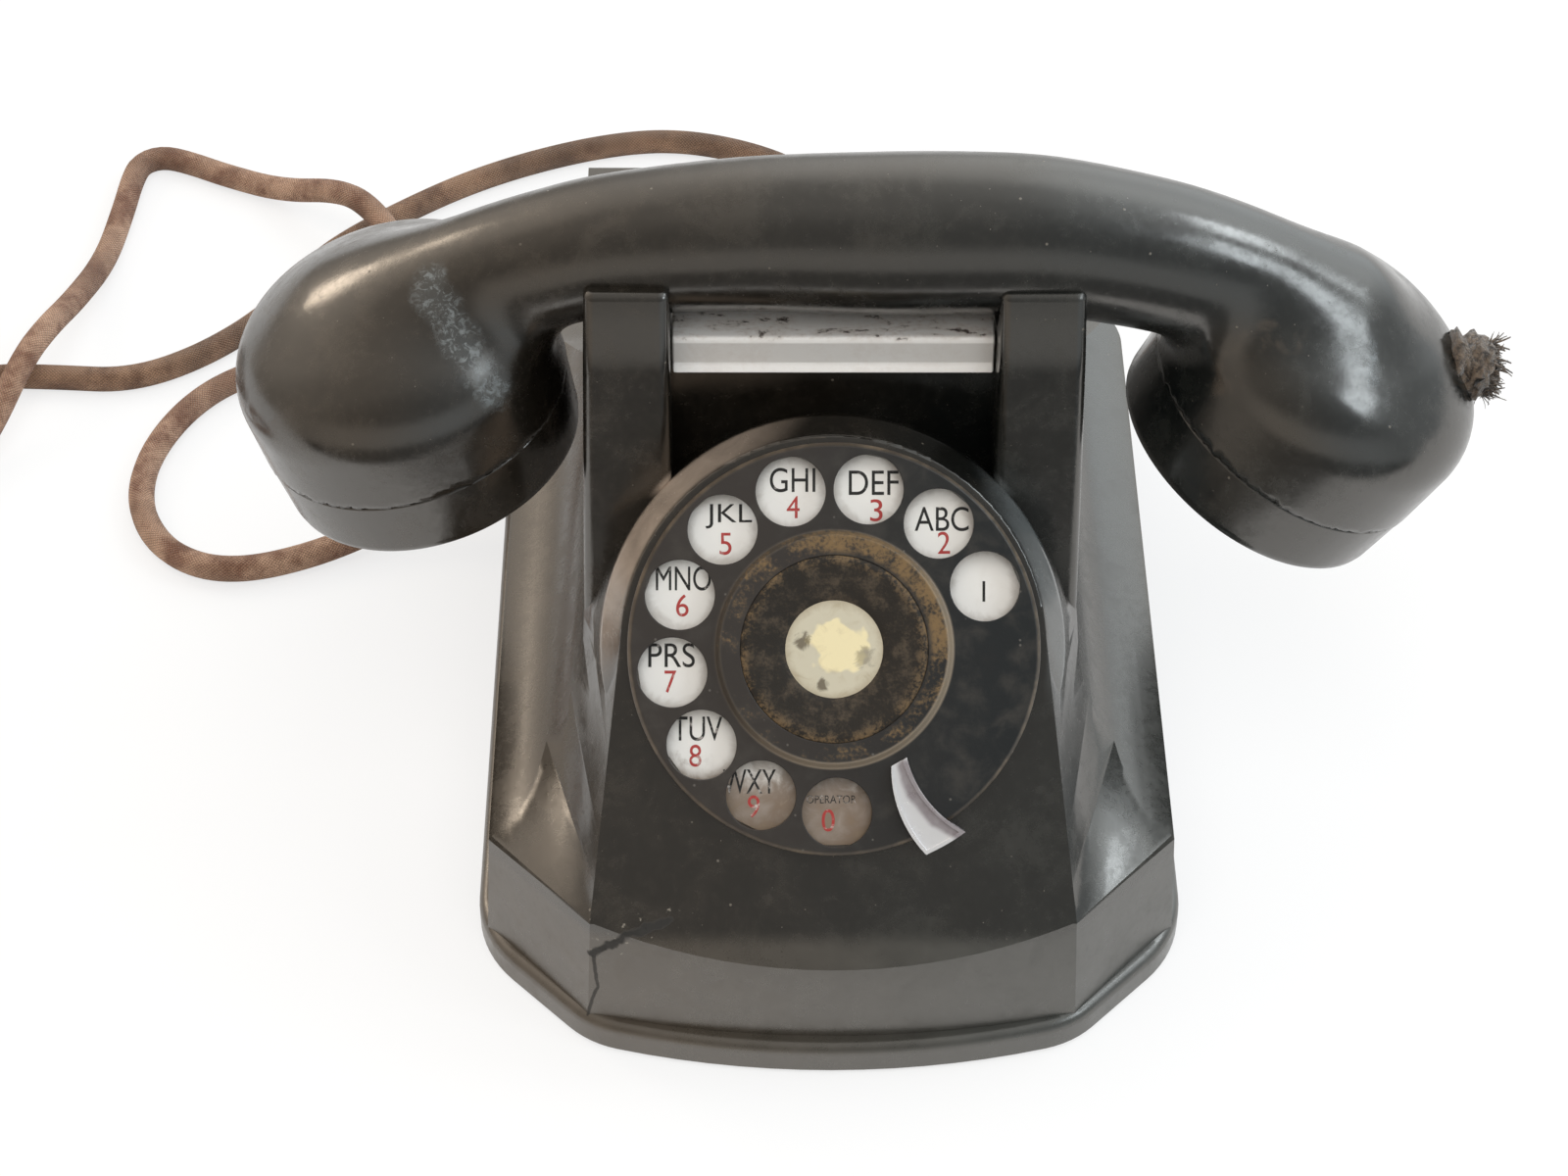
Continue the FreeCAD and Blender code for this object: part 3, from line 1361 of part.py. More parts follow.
def nodes():
    """Every sub-part, by name."""
    found = {
        "housing_shell": housing_shell(), "base_plate": base_plate(), "base_pad": base_pad(),
        "base_screws": base_screws(), "line_cord_gland": gland((0, 1, 0)),
        "handset_cord_gland": gland((-1, 0, 0)), "hook_bar": hook_bar(), "hook_lever": hook_lever(),
        "hook_pin": hook_pin(), "hook_bracket": hook_bracket(), "hook_contact_springs": hook_contact_springs(),
        "ringer_frame": ringer_frame(), "ringer_coils": ringer_coils(), "armature": armature(),
        "armature_pin": armature_pin(), "clapper_rod": clapper_rod(), "gong_left": gong(-gong_x),
        "gong_right": gong(gong_x), "gong_screws": gong_screws(), "induction_coil": induction_coil(),
        "capacitor": capacitor(), "terminal_block": terminal_block(), "terminal_screws": terminal_screws(),
        "handset_handle": handset_handle(), "handset_cord_stub": handset_cord_stub(),
        "receiver_cap": on_cup(cap([(9.0, 6)]), receiver_rim, receiver_tilt),
        "receiver_capsule": on_cup(capsule(), receiver_rim, receiver_tilt),
        "transmitter_cap": on_cup(cap([(7.5, 6), (15.0, 12)]), transmitter_rim, transmitter_tilt),
        "transmitter_capsule": on_cup(capsule(), transmitter_rim, transmitter_tilt),
        "line_cord": cord("line_cord", line_cord_points),
        "line_cord_coil": coil("line_cord_coil", line_coil, line_coil_tail()),
        "handset_cord": cord("handset_cord", handset_cord_points),
        "handset_cord_coil": coil("handset_cord_coil", handset_coil, handset_coil_tail()),
        "line_plug_body": line_plug_body(), "line_plug_pins": line_plug_pins(),
    }
    dial = {
        "dial_case": dial_case(), "number_plate": number_plate(), "dial_mount_screws": dial_mount_screws(),
        "finger_stop": finger_stop(), "finger_wheel": finger_wheel(), "card_ring": card_ring(),
        "dial_card": dial_card(), "dial_shaft": dial_shaft(), "dial_bridge": dial_bridge(),
        "spring_barrel": spring_barrel(), "impulse_cam": impulse_cam(),
        "governor_weights": governor_weights(), "dial_contact_springs": dial_contact_springs(),
    }
    dial.update(dial_train())
    for name, shape in dial.items():
        found[name] = on_dial(shape)
    return found


if __name__ == "__main__":
    os.makedirs("parts", exist_ok=True)
    for name, shape in nodes().items():
        export(name, shape)
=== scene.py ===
"""Looks of a desk telephone in worn black bakelite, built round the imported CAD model.

Everything is in metres in the model's own frame: X right, Y back, Z up, the table at Z = 0.
"""
import json
import math

import bmesh
import bpy
import numpy as np
from mathutils import Matrix, Vector

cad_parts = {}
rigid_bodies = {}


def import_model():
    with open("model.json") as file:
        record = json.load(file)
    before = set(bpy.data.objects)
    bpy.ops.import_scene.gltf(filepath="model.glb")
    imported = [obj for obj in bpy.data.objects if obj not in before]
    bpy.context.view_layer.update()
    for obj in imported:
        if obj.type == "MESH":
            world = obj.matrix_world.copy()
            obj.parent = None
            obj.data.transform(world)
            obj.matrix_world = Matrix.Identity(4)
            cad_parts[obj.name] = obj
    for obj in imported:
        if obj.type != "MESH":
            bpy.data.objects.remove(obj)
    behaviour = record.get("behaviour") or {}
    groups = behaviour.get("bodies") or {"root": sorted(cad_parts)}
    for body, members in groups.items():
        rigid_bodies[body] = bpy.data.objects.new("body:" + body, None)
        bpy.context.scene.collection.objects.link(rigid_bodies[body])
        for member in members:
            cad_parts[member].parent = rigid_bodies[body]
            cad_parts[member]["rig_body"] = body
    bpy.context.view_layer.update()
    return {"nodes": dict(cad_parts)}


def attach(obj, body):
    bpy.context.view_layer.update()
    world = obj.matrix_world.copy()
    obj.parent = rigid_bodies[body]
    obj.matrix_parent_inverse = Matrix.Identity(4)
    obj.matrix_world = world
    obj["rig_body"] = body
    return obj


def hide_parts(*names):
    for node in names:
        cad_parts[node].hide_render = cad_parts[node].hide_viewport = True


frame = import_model()
rng = np.random.default_rng(4)

# Camera
# The photograph's view: from the front and above, looking down by about 45 degrees, with a
# long lens whose picture is level to half a degree.
heading, drop, roll = math.radians(-0.68), math.radians(44.73), math.radians(0.47)
ahead = Vector((-math.sin(heading) * math.cos(drop), math.cos(heading) * math.cos(drop), -math.sin(drop)))
level = ahead.cross(Vector((0, 0, 1))).normalized()
above = level.cross(ahead)
lens = bpy.data.cameras.new("camera")
lens.sensor_width, lens.lens, lens.clip_start = 36, 85.5, 0.01
camera = bpy.data.objects.new("camera", lens)
bpy.context.scene.collection.objects.link(camera)
side = level * math.cos(roll) + above * math.sin(roll)
top = above * math.cos(roll) - level * math.sin(roll)
eye = Matrix.Translation((-0.0150, -0.5340, 0.5613))
camera.matrix_world = eye @ Matrix((side, top, -ahead)).transposed().to_4x4()
bpy.context.scene.camera = camera
bpy.context.scene.view_settings.view_transform = "Standard"


# Housing
# One moulding in black bakelite: a round skirt, a band with cut corners, and a body with the dial's
# boss in front and two cradle pillars on top. Its edges are eased, it is dusty and hazed by handling,
# and a crack runs up from the band's left front corner. Its colour also holds painted light: painted
# reflected light makes it paler low down and on the outer sides, and a painted highlight lies round the boss.
class Shade:
    """An output of a material's nodes. Arithmetic on it adds Math nodes."""

    def __init__(self, tree, socket=None):
        self.tree, self.socket = tree, socket

    def node(self, kind, settings=(), inputs=(), out=0):
        """Adds a node of a type, sets it, fills its inputs with values or links, and gives one output."""
        made = self.tree.nodes.new(kind)
        for key, value in dict(settings).items():
            setattr(made, key, value)
        for key, value in dict(inputs).items():
            if isinstance(value, Shade):
                self.tree.links.new(value.socket, made.inputs[key])
            elif isinstance(value, tuple) and len(value) == 3 and made.inputs[key].type == "RGBA":
                made.inputs[key].default_value = (*value, 1.0)
            else:
                made.inputs[key].default_value = value
        return Shade(self.tree, made.outputs[out]) if len(made.outputs) else None

    def maths(self, operation, *values, clamp=False):
        """Math node on these values, kept between 0 and 1 if clamp is set."""
        settings = {"operation": operation, "use_clamp": clamp}
        return self.node("ShaderNodeMath", settings, dict(enumerate(values)))

    def vector(self, operation, *values, out=0):
        """Vector Math node on these values."""
        return self.node("ShaderNodeVectorMath", {"operation": operation}, dict(enumerate(values)), out)

    def axis(self, number):
        """X, Y or Z of these coordinates, for 0, 1 or 2."""
        return self.node("ShaderNodeSeparateXYZ", {}, {0: self}, out=number)

    def __add__(self, other):
        return self.maths("ADD", self, other)

    def __radd__(self, other):
        return self.maths("ADD", other, self)

    def __sub__(self, other):
        return self.maths("SUBTRACT", self, other)

    def __rsub__(self, other):
        return self.maths("SUBTRACT", other, self)

    def __mul__(self, other):
        return self.maths("MULTIPLY", self, other)

    def step(self, low, high):
        """0 below low, 1 above high, smooth between; low may be above high."""
        settings = {"interpolation_type": "SMOOTHSTEP"}
        if low <= high:
            return self.node("ShaderNodeMapRange", settings, {0: self, 1: low, 2: high, 3: 0.0, 4: 1.0})
        return self.node("ShaderNodeMapRange", settings, {0: self, 1: high, 2: low, 3: 1.0, 4: 0.0})

    def tint(self, under, over):
        """Colour that goes from under to over as this value goes from 0 to 1."""
        return self.node("ShaderNodeMix", {"data_type": "RGBA"}, {0: self, 6: under, 7: over}, out=2)

    def noise(self, size, detail=3.0, rough=0.5, warp=0.0):
        """Fractal noise, about 0.5 on average, at these coordinates, with size features to the metre."""
        inputs = {"Vector": self, "Scale": size, "Detail": detail, "Roughness": rough, "Distortion": warp}
        return self.node("ShaderNodeTexNoise", {}, inputs)

    def specks(self, size, share, radius):
        """1 in small round spots: one cell in 1/share of size cells to the metre has one."""
        spot = self.node("ShaderNodeTexVoronoi", {}, {"Vector": self, "Scale": size}, out="Distance")
        cell = self.node("ShaderNodeTexVoronoi", {}, {"Vector": self, "Scale": size}, out="Color")
        return spot.step(radius, radius * 0.5) * cell.node("ShaderNodeSeparateColor", {}, {0: cell}).step(
            1 - share, 1 - share + 0.01)

    def away(self, centre):
        """Distance in metres from a point."""
        return self.vector("DISTANCE", self, centre, out="Value")


def finish(name, **plain):
    """New material: its Object coordinates and a function that joins what varies to its shader."""
    made = bpy.data.materials.new(name)
    made.use_nodes = True
    tree = made.node_tree
    shader = tree.nodes["Principled BSDF"]
    for key, value in plain.items():
        socket = shader.inputs[key.replace("_", " ")]
        socket.default_value = (*value, 1.0) if isinstance(value, tuple) else value
    place = Shade(tree).node("ShaderNodeTexCoord", out="Object")

    def wear(bump=None, depth=0.0001, **varying):
        """Joins outputs to the shader's inputs, and a height that raises the surface by depth metres."""
        for key, value in varying.items():
            tree.links.new(value.socket, shader.inputs[key.replace("_", " ")])
        if bump is not None:
            normal = bump.node("ShaderNodeBump", {}, {"Height": bump, "Distance": depth, "Strength": 1.0})
            tree.links.new(normal.socket, shader.inputs["Normal"])

    return made, place, wear


def dusty_bakelite(name, extra=None):
    """Black bakelite, polished by handling, under clouds of brown haze, smudges and dust, with painted light
    that makes it warmer on the left and cooler on the right.
    """
    made, place, wear = finish(name, IOR=1.7, Specular_IOR_Level=0.86, Specular_Tint=(1.0, 0.95, 0.89))
    cloud = place.noise(14.0, 4.0, 0.55, 0.4)
    haze = place.noise(85.0, 6.0, 0.65, 0.5).step(0.44, 0.70)
    grain = place.noise(700.0, 5.0, 0.65)
    smudge = place.noise(260.0, 5.0, 0.7, 0.8)
    dust = place.specks(420.0, 0.04, 0.14) + place.specks(1150.0, 0.03, 0.18) * 0.8
    across = place.axis(0)
    # Painted light: the black and its haze are warmer on the left and cooler on the right, like the warm and
    # cool windows
    painted_cool_light_side = (across + (cloud - 0.5) * 0.12).step(-0.06, 0.06)
    black = painted_cool_light_side.tint((0.0085, 0.0068, 0.0048), (0.0052, 0.0066, 0.0066))
    brown = painted_cool_light_side.tint((0.030, 0.023, 0.016), (0.016, 0.018, 0.016))
    film = haze * (0.2 + cloud * 0.8) + grain.step(0.50, 0.75) * 0.25 + smudge.step(0.55, 0.75) * 0.4
    hazed = film.tint(black, brown)
    dusted = (dust * 0.5).tint(hazed, (0.24, 0.21, 0.17))
    rough = 0.19 + haze * 0.10 + (cloud + smudge * 1.6 - 1.3) * 0.14
    rough = rough + grain.step(0.45, 0.75) * 0.08 + dust * 0.2
    if extra:
        dusted, rough = extra(place, dusted, rough)
    wear(Base_Color=dusted, Roughness=rough, bump=grain + haze * 0.8 + dust * 1.5, depth=0.000012)
    return made


def merged(node):
    """Vertices and faces of a CAD node with its loose triangles joined and the flat ones dissolved."""
    work = bmesh.new()
    work.from_mesh(frame["nodes"][node].data)
    bmesh.ops.remove_doubles(work, verts=work.verts, dist=3e-6)
    bmesh.ops.dissolve_limit(work, angle_limit=math.radians(0.4), verts=work.verts, edges=work.edges)
    mesh = bpy.data.meshes.new(node + "_mesh")
    verts = [v.co.copy() for v in work.verts]
    work.verts.index_update()
    mesh.from_pydata(verts, [], [[v.index for v in face.verts] for face in work.faces])
    work.free()
    return mesh


def spots_of(mesh):
    """Positions of a mesh's vertices, a row each."""
    spots = np.empty(len(mesh.vertices) * 3, np.float32)
    mesh.vertices.foreach_get("co", spots)
    return spots.reshape(-1, 3)


def place_spots(mesh, spots):
    """Moves a mesh's vertices to these rows of positions."""
    mesh.vertices.foreach_set("co", np.ascontiguousarray(spots, np.float32).ravel())


def show(mesh, name, body, material):
    """Puts a finished mesh into the scene as a piece of a CAD body."""
    piece = bpy.data.objects.new(name, mesh)
    bpy.context.scene.collection.objects.link(piece)
    mesh.materials.clear()
    mesh.materials.append(material)
    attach(piece, body)
    return piece


def eased(node, material, width, angle=25.0, segments=3, shape=None):
    """Own copy of a CAD node, changed by shape if given, with edges sharper than angle rounded to width."""
    mesh = merged(node)
    if shape:
        shape(mesh)
    mesh.shade_smooth()
    source = frame["nodes"][node]
    piece = show(mesh, node + "_eased", source["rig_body"], material)
    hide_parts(node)
    bevel = piece.modifiers.new("eased edges", "BEVEL")
    bevel.width, bevel.segments, bevel.limit_method = width, segments, "ANGLE"
    bevel.angle_limit, bevel.miter_outer = math.radians(angle), "MITER_ARC"
    bevel.use_clamp_overlap = True
    flats = piece.modifiers.new("flat faces stay flat", "WEIGHTED_NORMAL")
    flats.mode, flats.weight = "FACE_AREA", 60
    return piece


def coat(material, *names):
    """Gives CAD nodes a material."""
    for name in names:
        data = frame["nodes"][name].data
        data.materials.clear()
        data.materials.append(material)


# The dial's axis, by which its own pieces and the marks on the boss are placed
dial_centre = Vector((0.0, -0.0512, 0.0672))
dial_lean = math.radians(45.7)
dial_frame = Matrix.Translation(dial_centre) @ Matrix.Rotation(dial_lean, 4, "X")


def on_dial(place):
    """Object coordinates turned into the dial's own: x right, y up the slope, z out of the face."""
    settings = {"vector_type": "TEXTURE"}
    inputs = {"Vector": place, "Location": tuple(dial_centre), "Rotation": (dial_lean, 0.0, 0.0)}
    return place.node("ShaderNodeMapping", settings, inputs)


def flat_radius(place):
    """Distance from the dial's axis, of dial coordinates."""
    flat = place.vector("MULTIPLY", place, (1.0, 1.0, 0.0))
    return flat.vector("LENGTH", flat, out="Value")


def from_line(place, points, wander=0.0, size=260.0):
    """Distance to the nearest of the straight runs between points in millimetres, made ragged by noise."""
    points = np.array(points) / 1000
    inputs = {"Vector": place, "Scale": size, "Detail": 4.0}
    ragged = place.node("ShaderNodeTexNoise", {}, inputs, out="Color")
    stray = place.vector("MULTIPLY_ADD", ragged, (wander,) * 3, (-wander / 2,) * 3)
    spot = place.vector("ADD", place, stray)
    nearest = None
    for start, way in zip(points, np.diff(points, axis=0)):
        rest = spot.vector("SUBTRACT", spot, tuple(start))
        share = rest.vector("DOT_PRODUCT", rest, tuple(way / (way @ way)), out="Value")
        share = share.maths("MULTIPLY", share, 1.0, clamp=True)
        foot = share.vector("MULTIPLY_ADD", share, tuple(way), tuple(start))
        reach = spot.away(foot)
        nearest = reach if nearest is None else nearest.maths("MINIMUM", nearest, reach)
    return nearest


def crack(place, colour, rough):
    """A black ragged break up the left front corner and over the dial face's edge, with pale chips by it."""
    up_corner = from_line(place, [(-46.2, -89.2, 6.9), (-45.4, -88.9, 10.5), (-44.2, -88.8, 14.5),
                                  (-44.5, -88.1, 19.0), (-44.6, -87.7, 22.8)], 0.0012)
    over_edge = from_line(place, [(-44.6, -87.7, 22.8), (-41.8, -88.1, 25.8), (-38.2, -88.3, 28.6),
                                  (-34.0, -87.2, 30.2), (-30.5, -86.4, 31.0)], 0.0034)
    line = up_corner.step(0.00048, 0.00025) * 0.85 + over_edge.step(0.00115, 0.00055)
    line = line.maths("MINIMUM", line, 1.0)
    chips = over_edge.step(0.0042, 0.0015) * place.noise(900.0, 3.0, 0.6).step(0.66, 0.70)
    chipped = (chips * 0.7).tint(colour, (0.30, 0.27, 0.22))
    return line.tint(chipped, (0.001, 0.001, 0.001)), rough + line * 0.5


def shell_marks(place, colour, rough):
    """Painted reflected light that makes the low and outer sides paler, a painted highlight on the rim round
    the dial's boss, and the crack over both.
    """
    face = on_dial(place)
    radius = flat_radius(face)
    right = face.axis(0)
    up = face.axis(1)
    out = face.axis(2)
    across = place.axis(0)
    height = place.axis(2)
    patch = place.noise(150.0, 5.0, 0.6, 0.4)
    # Painted reflected light: low parts and outer sides are paler, warmer on the left and cooler on the
    # right, and a little rougher
    outer = across.maths("ABSOLUTE", across).step(0.046, 0.052) * 0.6
    painted_side_light = outer.maths("MAXIMUM", outer, height.step(0.030, 0.027)) * (0.35 + patch * 0.5)
    tone = painted_side_light.tint(colour, across.step(-0.05, 0.05).tint((0.085, 0.068, 0.050), (0.060, 0.063, 0.058)))
    # Painted highlight round the boss's rim: warm cream on the upper left, grey on the right
    rim = radius.step(0.0393, 0.0402) * radius.step(0.0452, 0.0438) * out.step(-0.0090, -0.0065)
    warm = rim * (up * 0.6 - right * 0.8).step(0.028, 0.041) * (0.35 + patch * 0.8)
    cool = rim * (right * 0.95 + up * 0.3).step(0.034, 0.042) * (0.3 + patch * 0.6)
    tone = warm.maths("MINIMUM", warm, 1.0).tint(tone, (0.50, 0.40, 0.32))
    tone = (cool * 0.8).tint(tone, (0.20, 0.22, 0.225))
    return crack(place, tone, rough + painted_side_light * 0.16)


def rounded_crowns(mesh, crown_foot=0.1075, crown_height=0.016, lean_back=0.0036):
    """Leans the pillars' fronts back, by the square of the height above the crown's foot.

    The faces are first cut at eight levels, so that they can follow.
    """
    work = bmesh.new()
    work.from_mesh(mesh)
    for cut in np.linspace(crown_foot + 0.001, crown_foot + 0.015, 8):
        parts = work.verts[:] + work.edges[:] + work.faces[:]
        bmesh.ops.bisect_plane(work, geom=parts, dist=1e-6, plane_co=(0, 0, cut), plane_no=(0, 0, 1))
    work.to_mesh(mesh)
    work.free()
    spots = spots_of(mesh)
    share = np.clip((spots[:, 2] - crown_foot) / crown_height, 0, 1) ** 2
    spots[:, 1] += lean_back * share * np.clip((-0.012 - spots[:, 1]) / 0.006, 0, 1)
    place_spots(mesh, spots)


shell_black = dusty_bakelite("dusty bakelite shell", shell_marks)
eased("housing_shell", shell_black, 0.0009, 20.0, shape=rounded_crowns)


# Base
# A pressed steel plate closes the housing underneath, held by four countersunk screws into posts,
# and a dark felt pad on it keeps the table from being scratched.
plain_steel, place, wear = finish("dull steel", Metallic=1.0)
stain = place.noise(90.0, 5.0, 0.6)
wear(Base_Color=stain.step(0.35, 0.75).tint((0.50, 0.49, 0.47), (0.27, 0.23, 0.19)),
     Roughness=0.32 + stain * 0.3, bump=place.noise(1400.0), depth=0.00001)
pad_felt, place, wear = finish("dark felt", Sheen_Weight=0.4, Roughness=0.95)
fibre = place.noise(1800.0, 5.0, 0.7)
wear(Base_Color=fibre.step(0.3, 0.7).tint((0.055, 0.050, 0.045), (0.14, 0.13, 0.12)),
     bump=fibre, depth=0.0002)
coat(plain_steel, "base_plate", "base_screws")
coat(pad_felt, "base_pad")


# Dial plate
# A steel pan sits in the boss and carries a vitreous enamelled plate, off-white with the letters in
# black and the numerals in red under it. Painted shade darkens it round the rim of each finger hole,
# most at the bottom, where brown dirt also stains and mottles it.
def hole_places(count=10, ring=0.0301, first=22.6, step=27.6):
    """Centres of the finger holes in dial coordinates."""
    angle = np.radians(first + step * np.arange(count))
    return np.stack([ring * np.cos(angle), ring * np.sin(angle)], axis=1)


enamel, place, wear = finish("old enamel", Roughness=0.28, Coat_Weight=0.3, Coat_Roughness=0.1)
face = on_dial(place)
nearest = None
for x, y in hole_places():
    reach = face.away((float(x), float(y), 0.0016))
    nearest = reach if nearest is None else nearest.maths("MINIMUM", nearest, reach)
blotch = face.noise(220.0, 5.0, 0.6, 0.5)
height = face.axis(1)
# Painted shade under the rims of the finger holes, stronger where the brown dirt lies low down
rim_shade = (nearest + (blotch - 0.5) * 0.004).step(0.0046, 0.0070)
low_dirt = (height + (blotch - 0.5) * 0.018).step(-0.0200, -0.0270)
aged = (low_dirt * (0.62 + blotch * 0.45)).tint((0.92, 0.90, 0.86), (0.17, 0.100, 0.050))
shaded = (rim_shade * (0.42 + low_dirt * 0.4)).tint(aged, (0.22, 0.16, 0.11))
mottled = ((blotch.step(0.5, 0.8)) * (0.10 + low_dirt * 0.25)).tint(shaded, (0.42, 0.33, 0.23))
wear(Base_Color=mottled)
coat(enamel, "number_plate")
coat(plain_steel, "dial_case", "dial_mount_screws")


def rubbed_ink(name, colour):
    """Fired ink, thin where fingers have rubbed it, most on the lower half of the dial."""
    made, place, wear = finish(name, Roughness=0.4)
    face = on_dial(place)
    height = face.axis(1)
    worn = face.noise(700.0, 4.0, 0.65) + height.step(0.0, -0.030) * 0.10
    wear(Base_Color=worn.step(0.58, 0.78).tint(colour, (0.62, 0.57, 0.52)))
    return made


black_ink = rubbed_ink("rubbed black ink", (0.020, 0.019, 0.018))
red_ink = rubbed_ink("rubbed red ink", (0.46, 0.045, 0.040))


def letters(text, x, y, high, wide, material, ink_level=1.64):
    """A word on the number plate, centred on dial coordinates in millimetres, with that height and width."""
    curve = bpy.data.curves.new("letters", "FONT")
    curve.body = text
    word = bpy.data.objects.new("letters", curve)
    bpy.context.scene.collection.objects.link(word)
    bpy.context.view_layer.update()
    mesh = bpy.data.meshes.new_from_object(word.evaluated_get(bpy.context.evaluated_depsgraph_get()))
    bpy.data.objects.remove(word)
    spots = spots_of(mesh)
    lowest, highest = spots.min(0), spots.max(0)
    size = np.maximum(highest - lowest, 1e-6)
    spots = (spots - (lowest + highest) / 2) / size * np.array([wide, high, 0.0])
    spots = spots + np.array([x, y, ink_level])
    spots = spots / 1000 @ np.array(dial_frame.to_3x3()).T + np.array(dial_centre)
    place_spots(mesh, spots)
    name = "dial_text_" + "".join(c if c.isalnum() else "_" for c in text).lower()
    return show(mesh, name, "base", material)


for text, x, y, high, wide in (
        ("GHI", -7.6, 31.2, 4.5, 8.4), ("DEF", 7.4, 30.7, 4.5, 9.2), ("ABC", 20.0, 24.0, 4.5, 10.0),
        ("JKL", -19.4, 24.5, 4.5, 8.6), ("MNO", -27.8, 13.0, 4.5, 10.2), ("PRS", -30.0, -1.2, 4.5, 8.6),
        ("TUV", -25.2, -14.8, 4.5, 9.2), ("WXY", -15.6, -24.6, 4.5, 9.8),
        ("OPERATOR", -0.4, -27.9, 1.5, 9.2)):
    letters(text, x, y, high, wide, black_ink)
letters("I", 27.8, 10.6, 3.8, 0.5, black_ink)
for text, x, y, wide in (
        ("4", -7.5, 26.2, 2.4), ("3", 7.9, 25.6, 2.3), ("2", 20.4, 19.6, 2.3), ("5", -20.0, 19.4, 2.2),
        ("6", -28.0, 8.0, 2.3), ("7", -30.2, -6.1, 2.2), ("8", -25.6, -19.8, 2.2), ("9", -14.8, -29.2, 2.2),
        ("0", -1.0, -31.8, 2.4)):
    letters(text, x, y, 4.1, wide, red_ink)


# Finger wheel and card
# The wheel is pressed steel in black enamel, rubbed to brown and gold round its raised centre. A
# dull ring holds a round cream card, stained by what was once written and stuck on it.
wheel_black, place, wear = finish("rubbed black enamel", Specular_IOR_Level=0.45)
face = on_dial(place)
radius = flat_radius(face)
patch = face.noise(190.0, 5.0, 0.6, 0.3)
fine = face.noise(1500.0, 4.0, 0.6)
right = face.axis(0)
up = face.axis(1)
dust = face.specks(700.0, 0.05, 0.22)
gold = radius.step(0.0172, 0.0188) * radius.step(0.0222, 0.0214)
gold = gold * (patch + (right + up) * 5.0 + (fine - 0.5) * 0.8).step(0.42, 0.80)
edge = radius.step(0.0372, 0.0378) * (0.35 + patch.step(0.4, 0.7) * 0.65)
centre_edge = radius.step(0.0206, 0.0212) * radius.step(0.0224, 0.0218)
centre_edge = centre_edge * (0.12 + (right - up).step(-0.012, 0.022) * 0.8)
# Painted light: the black enamel is lighter and warmer on the left, darker and cooler on the right
black = (right + (patch - 0.5) * 0.04).step(-0.02, 0.03).tint((0.036, 0.030, 0.026), (0.013, 0.015, 0.016))
hazed = (patch.step(0.42, 0.75) * 0.5).tint(black, (0.060, 0.053, 0.045))
worn = (gold * 0.85).tint(hazed, (0.26, 0.165, 0.075))
worn = (edge * 0.6).tint(worn, (0.24, 0.18, 0.12))
worn = (centre_edge * 0.7).tint(worn, (0.42, 0.34, 0.25))
worn = (dust * 0.35).tint(worn, (0.25, 0.23, 0.2))
wear(Base_Color=worn, Roughness=0.30 + patch * 0.18 + gold * 0.2, Metallic=gold * 0.3,
     bump=fine + dust, depth=0.00002)
eased("finger_wheel", wheel_black, 0.0003, 35.0)

ring_brown, place, wear = finish("dust-filled ring", Specular_IOR_Level=0.4)
face = on_dial(place)
radius = flat_radius(face)
patch = face.noise(260.0, 6.0, 0.65)
fine = face.noise(1900.0, 4.0, 0.6)
grime = (patch + (fine - 0.5) * 0.4).step(0.42, 0.72)
brown = (grime * 0.8).tint((0.020, 0.016, 0.012), (0.085, 0.063, 0.042))
outer = radius.step(0.0145, 0.0172) * (patch + (fine - 0.5) * 0.6).step(0.40, 0.65)
wear(Base_Color=(outer * 0.6).tint(brown, (0.22, 0.14, 0.065)), Roughness=0.45 + fine * 0.3,
     bump=fine + patch, depth=0.00006)
eased("card_ring", ring_brown, 0.0002, 35.0)

old_card, place, wear = finish("stained card", Roughness=0.55, Coat_Weight=0.25, Coat_Roughness=0.25)
face = on_dial(place)
radius = flat_radius(face)
blotch = face.noise(300.0, 5.0, 0.65, 0.8)
paste = face.noise(240.0, 2.0, 0.5)
glue = (face.away((0.0004, 0.0008, 0.0056)) + (paste - 0.5) * 0.009).step(0.0052, 0.0040)
cream = glue.tint((0.60, 0.55, 0.42), (0.86, 0.75, 0.46))
stains = (face.away((-0.0056, 0.0014, 0.0056)) + (blotch - 0.5) * 0.005).step(0.0019, 0.0006)
stains = stains + (face.away((-0.0024, -0.0066, 0.0056)) + (blotch - 0.5) * 0.004).step(0.0013, 0.0004)
stains = stains + (face.away((0.0056, -0.0016, 0.0056)) + (blotch - 0.5) * 0.006).step(0.0022, 0.0008) * 0.6
rim = (radius + (blotch - 0.5) * 0.003).step(0.0072, 0.0092)
foxed = (blotch.step(0.5, 0.75) * 0.3).tint(cream, (0.42, 0.33, 0.19))
ringed = (rim * 0.55).tint(foxed, (0.33, 0.26, 0.16))
wear(Base_Color=(stains.maths("MINIMUM", stains, 1.0) * 0.8).tint(ringed, (0.07, 0.045, 0.02)))
coat(old_card, "dial_card")


# Finger stop
# A stamped horn of bright nickelled steel. Its narrow tip stands over the wheel's raised centre and
# its broad end bends down over the rim. Painted shade darkens the hollow along its middle between
# bright edges.
nickel, place, wear = finish("bright nickel", Metallic=0.6)
tarnish = place.noise(420.0, 4.0, 0.6)
flat = place.vector("MULTIPLY", on_dial(place), (1.0, 1.0, 0.0))
middle = [(12.9, -21.5, 0), (14.6, -26.5, 0), (18.6, -31.2, 0), (23.5, -34.0, 0)]
# Painted shade along the hollow, varied by the tarnish
hollow_shade = from_line(flat, middle, 0.0008).step(0.0019, 0.0007)
wear(Base_Color=(hollow_shade * (0.55 + tarnish * 0.5)).tint((0.97, 0.96, 0.97), (0.34, 0.29, 0.31)),
     Roughness=0.14 + tarnish * 0.2)
eased("finger_stop", nickel, 0.00022, 35.0)


